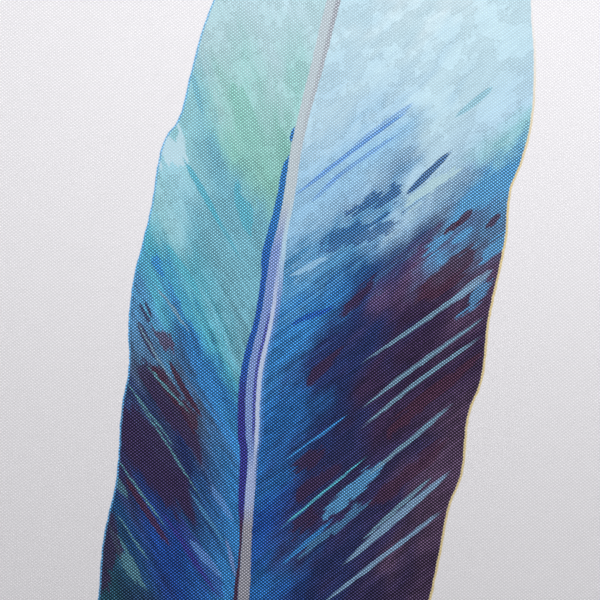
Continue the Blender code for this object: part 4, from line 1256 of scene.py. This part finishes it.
def build_tip_pocket(webbing, thread):
    """Webbing folded over the pole's end: round at its mouth, pinched flat and bar-tacked at its far end."""
    place = pole_end_frame()
    mouth = -11.7 * MM
    rings = [
        # height, half width, half thickness
        (mouth, 5.62, 5.62), (mouth + 0.9 * MM, 5.85, 5.85), (mouth + 2.2 * MM, 5.8, 5.7),
        (-6 * MM, 5.75, 5.3), (-2 * MM, 5.7, 4.4), (0.6 * MM, 5.7, 3.4), (2.2 * MM, 5.75, 2.2),
        (3.4 * MM, 5.8, 1.3), (4.6 * MM, 5.8, 0.95), (5.0 * MM, 5.6, 0.7),
    ]
    sides = 40
    points, cut = [], []
    for height, wide, thick in rings:
        for k in range(sides):
            a = 2 * math.pi * k / sides
            squareness = 1.0 + 0.06 * (1 - thick / wide) * math.cos(4 * a)
            side = math.cos(a) * wide * squareness * MM
            points.append(place @ Vector((side, math.sin(a) * thick * MM, height)))
            cut.append((a * 5.7, height / MM))
    faces = tube_faces(len(rings), sides)
    faces.append([(len(rings) - 1) * sides + k for k in range(sides)])
    inner = len(points)
    for height, size in ((mouth, 5.25), (-4 * MM, 4.6)):
        for k in range(sides):
            a = 2 * math.pi * k / sides
            points.append(place @ Vector((math.cos(a) * size * MM, math.sin(a) * size * 0.95 * MM, height)))
            cut.append((a * 5.7, height / MM))
    for k in range(sides):
        b = (k + 1) % sides
        faces.append([b, k, inner + k, inner + b])
        faces.append([inner + b, inner + k, inner + sides + k, inner + sides + b])
    faces.append([inner + sides + k for k in reversed(range(sides))])
    pocket = solid("tip_pocket_webbing", points, faces, webbing, cut)
    turn_outward(pocket)
    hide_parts("tip_pocket")
    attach(pocket, "mast")

    rows = Stitches()
    for side in (1, -1):
        for height, thick in ((3.0 * MM, 1.75), (4.1 * MM, 1.2)):
            line = [place @ Vector((x * MM, side * thick * MM, height)) for x in (-4.6, -2.3, 0.0, 2.3, 4.6)]
            off = (place.to_3x3() @ Vector((0.0, side, 0.0))).normalized()
            rows.row(line, lambda p, off=off: (p, off))
    sewn_at = mouth + 1.8 * MM
    ring = []
    for k in range(48):
        a = 2 * math.pi * k / 48
        ring.append(place @ Vector((math.cos(a) * 5.86 * MM, math.sin(a) * 5.86 * MM, sewn_at)))
    centre = place @ Vector((0.0, 0.0, sewn_at))
    rows.row(ring, lambda p: (p, (p - centre).normalized()), closed=True)
    return pocket, rows.make("pocket_stitching", thread, "mast", "pocket_webbing")


def patch_outline(corner, along, inward, length, width, steps=10):
    """A reinforcing patch: square at the sewn edge and rounded off towards the cloth."""
    line = [corner]
    for i in range(steps + 1):
        a = math.pi / 2 * i / steps
        reach = width * math.cos(a) ** 0.7 if i < steps else 0.0
        line.append(corner + inward * reach + along * length * math.sin(a) ** 0.7)
    return line


def edge_height(outline, x):
    """The height of the sail's lower edge at x."""
    heights = []
    for a, b in zip(outline, outline[1:] + outline[:1]):
        if min(a.x, b.x) <= x <= max(a.x, b.x) and abs(b.x - a.x) > 1e-9:
            heights.append(a.z + (b.z - a.z) * (x - a.x) / (b.x - a.x))
    return min(heights)


def build_foot_patch(cloth_map, sail_outline, corner, cloth, thread, hole):
    """A second layer of cloth sewn on both faces of the sail's foot corner, cut out round the grommet."""
    along, inward = Vector((0.0, 0.0, 1.0)), Vector((1.0, 0.0, 0.0))
    bottom = [corner + inward * PATCH_WIDTH * share for share in (0.2, 0.4, 0.6, 0.8)]
    outline = patch_outline(corner, along, inward, PATCH_LENGTH, PATCH_WIDTH)
    outline[1:1] = bottom
    for p in outline:
        p.z = max(p.z, edge_height(sail_outline, p.x) + 0.5 * MM)
    places, faces = flat_lattice([Vector((p.x, 0.0, p.z)) for p in outline], 2.0 * MM)
    middle_of_hole = Vector((hole.x, 0.0, hole.z))
    bad = {i for i, p in enumerate(places) if (p - middle_of_hole).length < 3.4 * MM}
    faces = [f for f in faces if not bad.intersection(f)]
    made = []
    rows = Stitches()
    for side, word in ((1, "front"), (-1, "back")):
        points = [cloth_map.at(p, side * (CLOTH_T / 2 + 0.16 * MM))[0] for p in places]
        cut = [(p.x / MM, p.z / MM) for p in places]
        patch = solid(f"foot_patch_{word}", points, faces, cloth, cut)
        bare = bmesh.new()
        bare.from_mesh(patch.data)
        loose = [v for v in bare.verts if not v.link_faces]
        bmesh.ops.delete(bare, geom=loose, context="VERTS")
        bare.to_mesh(patch.data)
        bare.free()
        thickened(patch, PATCH_T)
        turn_outward(patch)
        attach(patch, "mast")
        made.append(patch)
        middle = sum(outline, Vector()) / len(outline)
        sewn = [p + (middle - p).normalized() * 1.3 * MM for p in outline[1:]]
        rows.row(sewn, lambda p, side=side: lifted(cloth_map, p, side, CLOTH_T / 2 + 0.30 * MM))
    made.append(rows.make("foot_patch_stitching", thread, "mast", "printed_cloth"))
    return made


def turned(name, profile, steps, material, matrix):
    """A closed (radius, height) profile turned round Z, then placed."""
    points, faces = [], []
    count = len(profile)
    for i in range(steps):
        a = 2 * math.pi * i / steps
        for radius, height in profile:
            points.append(matrix @ Vector((radius * math.cos(a), radius * math.sin(a), height)))
    for i in range(steps):
        for k in range(count):
            a, b = i * count + k, i * count + (k + 1) % count
            c = ((i + 1) % steps) * count
            faces.append([a, b, c + (k + 1) % count, c + k])
    made = solid(name, points, faces, material)
    turn_outward(made)
    return made


def build_grommet(plated):
    """Two-piece eyelet: a rolled front flange with its throat, and a flat washer behind."""
    low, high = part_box("grommet")
    centre = (low + high) / 2
    rim = (high.x - low.x) / 2
    half = (high.y - low.y) / 2
    hole = 3.2 * MM
    middle, spread = (hole + rim) / 2, (rim - hole) / 2
    profile = []
    for i in range(13):
        a = math.pi * i / 12
        profile.append((middle + math.cos(a) * spread, half * (0.45 + 0.55 * math.sin(a) ** 0.8)))
    for i in range(9):
        a = math.pi * i / 8
        profile.append((middle - math.cos(a) * spread, -half * (0.6 + 0.4 * math.sin(a) ** 0.6)))
    matrix = Matrix.Translation(centre) @ Matrix.Rotation(math.pi / 2, 4, "X")
    eyelet = turned("eyelet", profile, 56, plated, matrix)
    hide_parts("grommet")
    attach(eyelet, "mast")
    return eyelet


def build_cord(elastic, plated):
    """The braided elastic loop from the grommet down over the hook, and the crimp that joins its ends."""
    low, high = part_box("tension_cord")
    radius = (high.x - low.x) / 2
    half = (high.y - low.y) / 2 - radius
    x = (low.x + high.x) / 2
    top = high.z - radius - half
    bottom = low.z + radius + half
    bow = [math.pi * i / 24 for i in range(25)]
    line = [Vector((x, half * math.cos(a), top + half * math.sin(a))) for a in bow]
    line += [Vector((x, -half * math.cos(a), bottom - half * math.sin(a))) for a in bow]
    path = evenly(line, 0.42 * MM)
    sides = 20
    points, cut = [], []
    travelled = 0.0
    count = len(path)
    for i in range(count + 1):
        p = path[i % count]
        along = (path[(i + 1) % count] - path[(i - 1) % count]).normalized()
        across = Vector((1.0, 0.0, 0.0))
        off = along.cross(across).normalized()
        for k in range(sides + 1):
            a = 2 * math.pi * k / sides
            braid = max(math.sin(travelled * 2.6 + a * 4), math.sin(travelled * 2.6 - a * 4))
            size = radius * (0.93 + 0.05 * braid)
            points.append(p + across * math.cos(a) * size + off * math.sin(a) * size)
            cut.append((travelled, a))
        travelled += (path[(i + 1) % count] - p).length / MM
    cord = solid("elastic_loop", points, strip_faces(count + 1, sides + 1), elastic, cut)
    weld = bmesh.new()
    weld.from_mesh(cord.data)
    bmesh.ops.remove_doubles(weld, verts=weld.verts, dist=0.002 * MM)
    bmesh.ops.recalc_face_normals(weld, faces=weld.faces)
    weld.to_mesh(cord.data)
    weld.free()
    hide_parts("tension_cord")
    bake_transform(cord)

    end, wall = 2.6 * MM, 1.42 * MM
    upper = [
        (wall * 0.86, 0.5 * MM), (wall, 0.9 * MM), (wall, end - 0.3 * MM), (wall * 0.92, end),
        (radius * 0.86, end),
    ]
    profile = [(size, -height) for size, height in reversed(upper)] + upper
    crimp = turned("loop_crimp", profile, 28, plated, Matrix.Translation((x, half, bottom + 3 * MM)))
    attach(crimp, "tensioner")
    return cord, crimp


# ---------------------------------------------------------------- finishes of the frame's own nodes

NODE_FINISHES = {
    powder_coat: ("hub_", "spindle_housing", "leg_tube_"),
    zinc_steel: (
        "leg_pivot_", "leg_stop_", "housing_screw_", "foot_screw_", "spindle", "spindle_circlip",
        "tension_hook", "thumb_screw",
    ),
    natural_acetal: ("upper_bush", "lower_bush"),
    black_nylon: ("leg_end_cap_", "middle_collar", "tension_clamp"),
    soft_rubber: ("leg_foot_", "tip_cap"),
    satin_aluminium: ("pole_lower",),
    fibreglass: ("pole_middle", "pole_tip", "tip_collar"),
}


def finish_nodes(frame):
    """Gives each of the frame's own nodes its finish, smooth round faces and slightly broken edges."""
    for make, starts in NODE_FINISHES.items():
        material = make()
        for name, node in frame["nodes"].items():
            if any(name == s or (s.endswith("_") and name.startswith(s)) for s in starts):
                node.data.materials.clear()
                node.data.materials.append(material)
                soften(node)


def soften(node):
    """Broken edges, by modifiers only: the frame's mesh stays as it is."""
    weld = node.modifiers.new("Weld", "WELD")
    weld.merge_threshold = 0.005 * MM
    edge = node.modifiers.new("Broken edge", "BEVEL")
    edge.width = 0.25 * MM
    edge.segments = 2
    edge.limit_method = "ANGLE"
    edge.angle_limit = math.radians(50)
    edge.use_clamp_overlap = True
    edge.harden_normals = False
    by_angle(node)


def by_angle(node):
    """Smooth across shallow edges and sharp across steep ones."""
    for face in node.data.polygons:
        face.use_smooth = True
    node.data.set_sharp_from_angle(angle=math.radians(35))


# ---------------------------------------------------------------- studio


def studio_floor():
    """A plain pale floor, faintly mottled."""
    f = Finish("studio_floor")
    mottle = f.noise(f.own_place(), 3.0, 4.0, 0.6)
    base = f.mix(mottle, ink("e8e8e8"), ink("efeeec"))
    material = f.finish(base_color=base, roughness=0.7 + mottle * 0.1, specular_ior_level=0.3)
    size, below = 9.0, -0.3 * MM
    corners = [(-size, -size), (size, -size), (size, size), (-size, size)]
    floor = solid("studio_floor", [Vector((x, y, below)) for x, y in corners], [[0, 1, 2, 3]], material)


def soft_box(name, place, target, width, height, watts):
    """A flat, even light that the camera doesn't see."""
    data = bpy.data.lights.new(name, "AREA")
    data.shape = "RECTANGLE"
    data.size = width
    data.size_y = height
    data.energy = watts
    light = bpy.data.objects.new(name, data)
    bpy.context.scene.collection.objects.link(light)
    light.location = place
    light.rotation_mode = "QUATERNION"
    light.rotation_quaternion = (Vector(target) - Vector(place)).to_track_quat("-Z", "Y")
    light.visible_camera = False
    return light


def far_light(name, direction, strength):
    """A wide, even light from one side, as from a big window."""
    data = bpy.data.lights.new(name, "SUN")
    data.energy = strength
    data.angle = math.radians(50)
    light = bpy.data.objects.new(name, data)
    bpy.context.scene.collection.objects.link(light)
    light.rotation_mode = "QUATERNION"
    light.rotation_quaternion = Vector(direction).to_track_quat("Z", "Y")
    return light


# The main view looks straight at the print's middle from close by, with the threads leaning a little.
VIEW_MIDDLE = Vector((88 * MM, 0.0, 480 * MM))
VIEW_WIDTH = 120 * MM
VIEW_DISTANCE = 1.0
VIEW_LEAN = math.radians(2.7)


def studio():
    """Even sky, two soft boxes, three far lights and the camera."""
    scene = bpy.context.scene
    scene.view_settings.view_transform = "Standard"
    world = bpy.data.worlds.new("studio")
    world.use_nodes = True
    background = world.node_tree.nodes["Background"]
    background.inputs["Color"].default_value = (0.94, 0.94, 0.96, 1.0)
    background.inputs["Strength"].default_value = 0.15
    scene.world = world

    soft_box("near_key", (0.14, -0.16, 0.575), (0.14, 0.0, 0.572), 0.38, 0.17, 0.38)
    soft_box("low_fill", (0.10, -0.42, 0.18), (0.08, 0.0, 0.24), 0.25, 0.2, 0.26)
    far_light("front_sun", (-0.5, -0.9, 0.9), 0.11)
    far_light("side_sun", (0.9, -0.35, 0.8), 0.12)
    far_light("back_sun", (-0.3, 0.85, 1.1), 1.45)

    data = bpy.data.cameras.new("camera")
    data.lens = 36.0 * VIEW_DISTANCE / VIEW_WIDTH
    data.sensor_width = 36.0
    data.clip_start = 0.05
    data.clip_end = 50.0
    camera = bpy.data.objects.new("camera", data)
    scene.collection.objects.link(camera)
    right = Vector((math.cos(VIEW_LEAN), 0.0, math.sin(VIEW_LEAN)))
    up = Vector((-math.sin(VIEW_LEAN), 0.0, math.cos(VIEW_LEAN)))
    back = Vector((0.0, -1.0, 0.0))
    turn = Matrix((right, up, back)).transposed().to_4x4()
    camera.matrix_world = Matrix.Translation(VIEW_MIDDLE + back * VIEW_DISTANCE) @ turn
    scene.camera = camera


# ---------------------------------------------------------------- the whole


def main():
    for obj in list(bpy.data.objects):
        bpy.data.objects.remove(obj)
    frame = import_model()

    studio()
    studio_floor()
    finish_nodes(frame)

    front = printed_cloth("printed_cloth", 1.0)
    back = printed_cloth("printed_cloth_back", 0.8)
    white = plain_cloth("sleeve_white", "e9e8ed")
    webbing = webbing_cloth()
    thread = sewing_thread()
    plated = nickel()

    low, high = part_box("sail")
    outline, eyelet = cut_outline(frame["nodes"]["sail"])
    stations = sleeve_line(low.z)
    sail, cloth_map, area = build_sail(outline, stations, front, back)
    hem, hem_thread = build_hem(cloth_map, free_edge(outline, stations), front, thread)
    sleeve, seam_thread, sleeve_flat = build_sleeve(stations, white, thread)
    pocket, pocket_thread = build_tip_pocket(webbing, thread)
    corner = Vector((SEWN_AT + 0.2 * MM, 0.0, low.z + 0.4 * MM))
    patch = build_foot_patch(cloth_map, outline, corner, white, thread, eyelet)
    build_grommet(plated)
    build_cord(elastic_braid(), plated)


main()
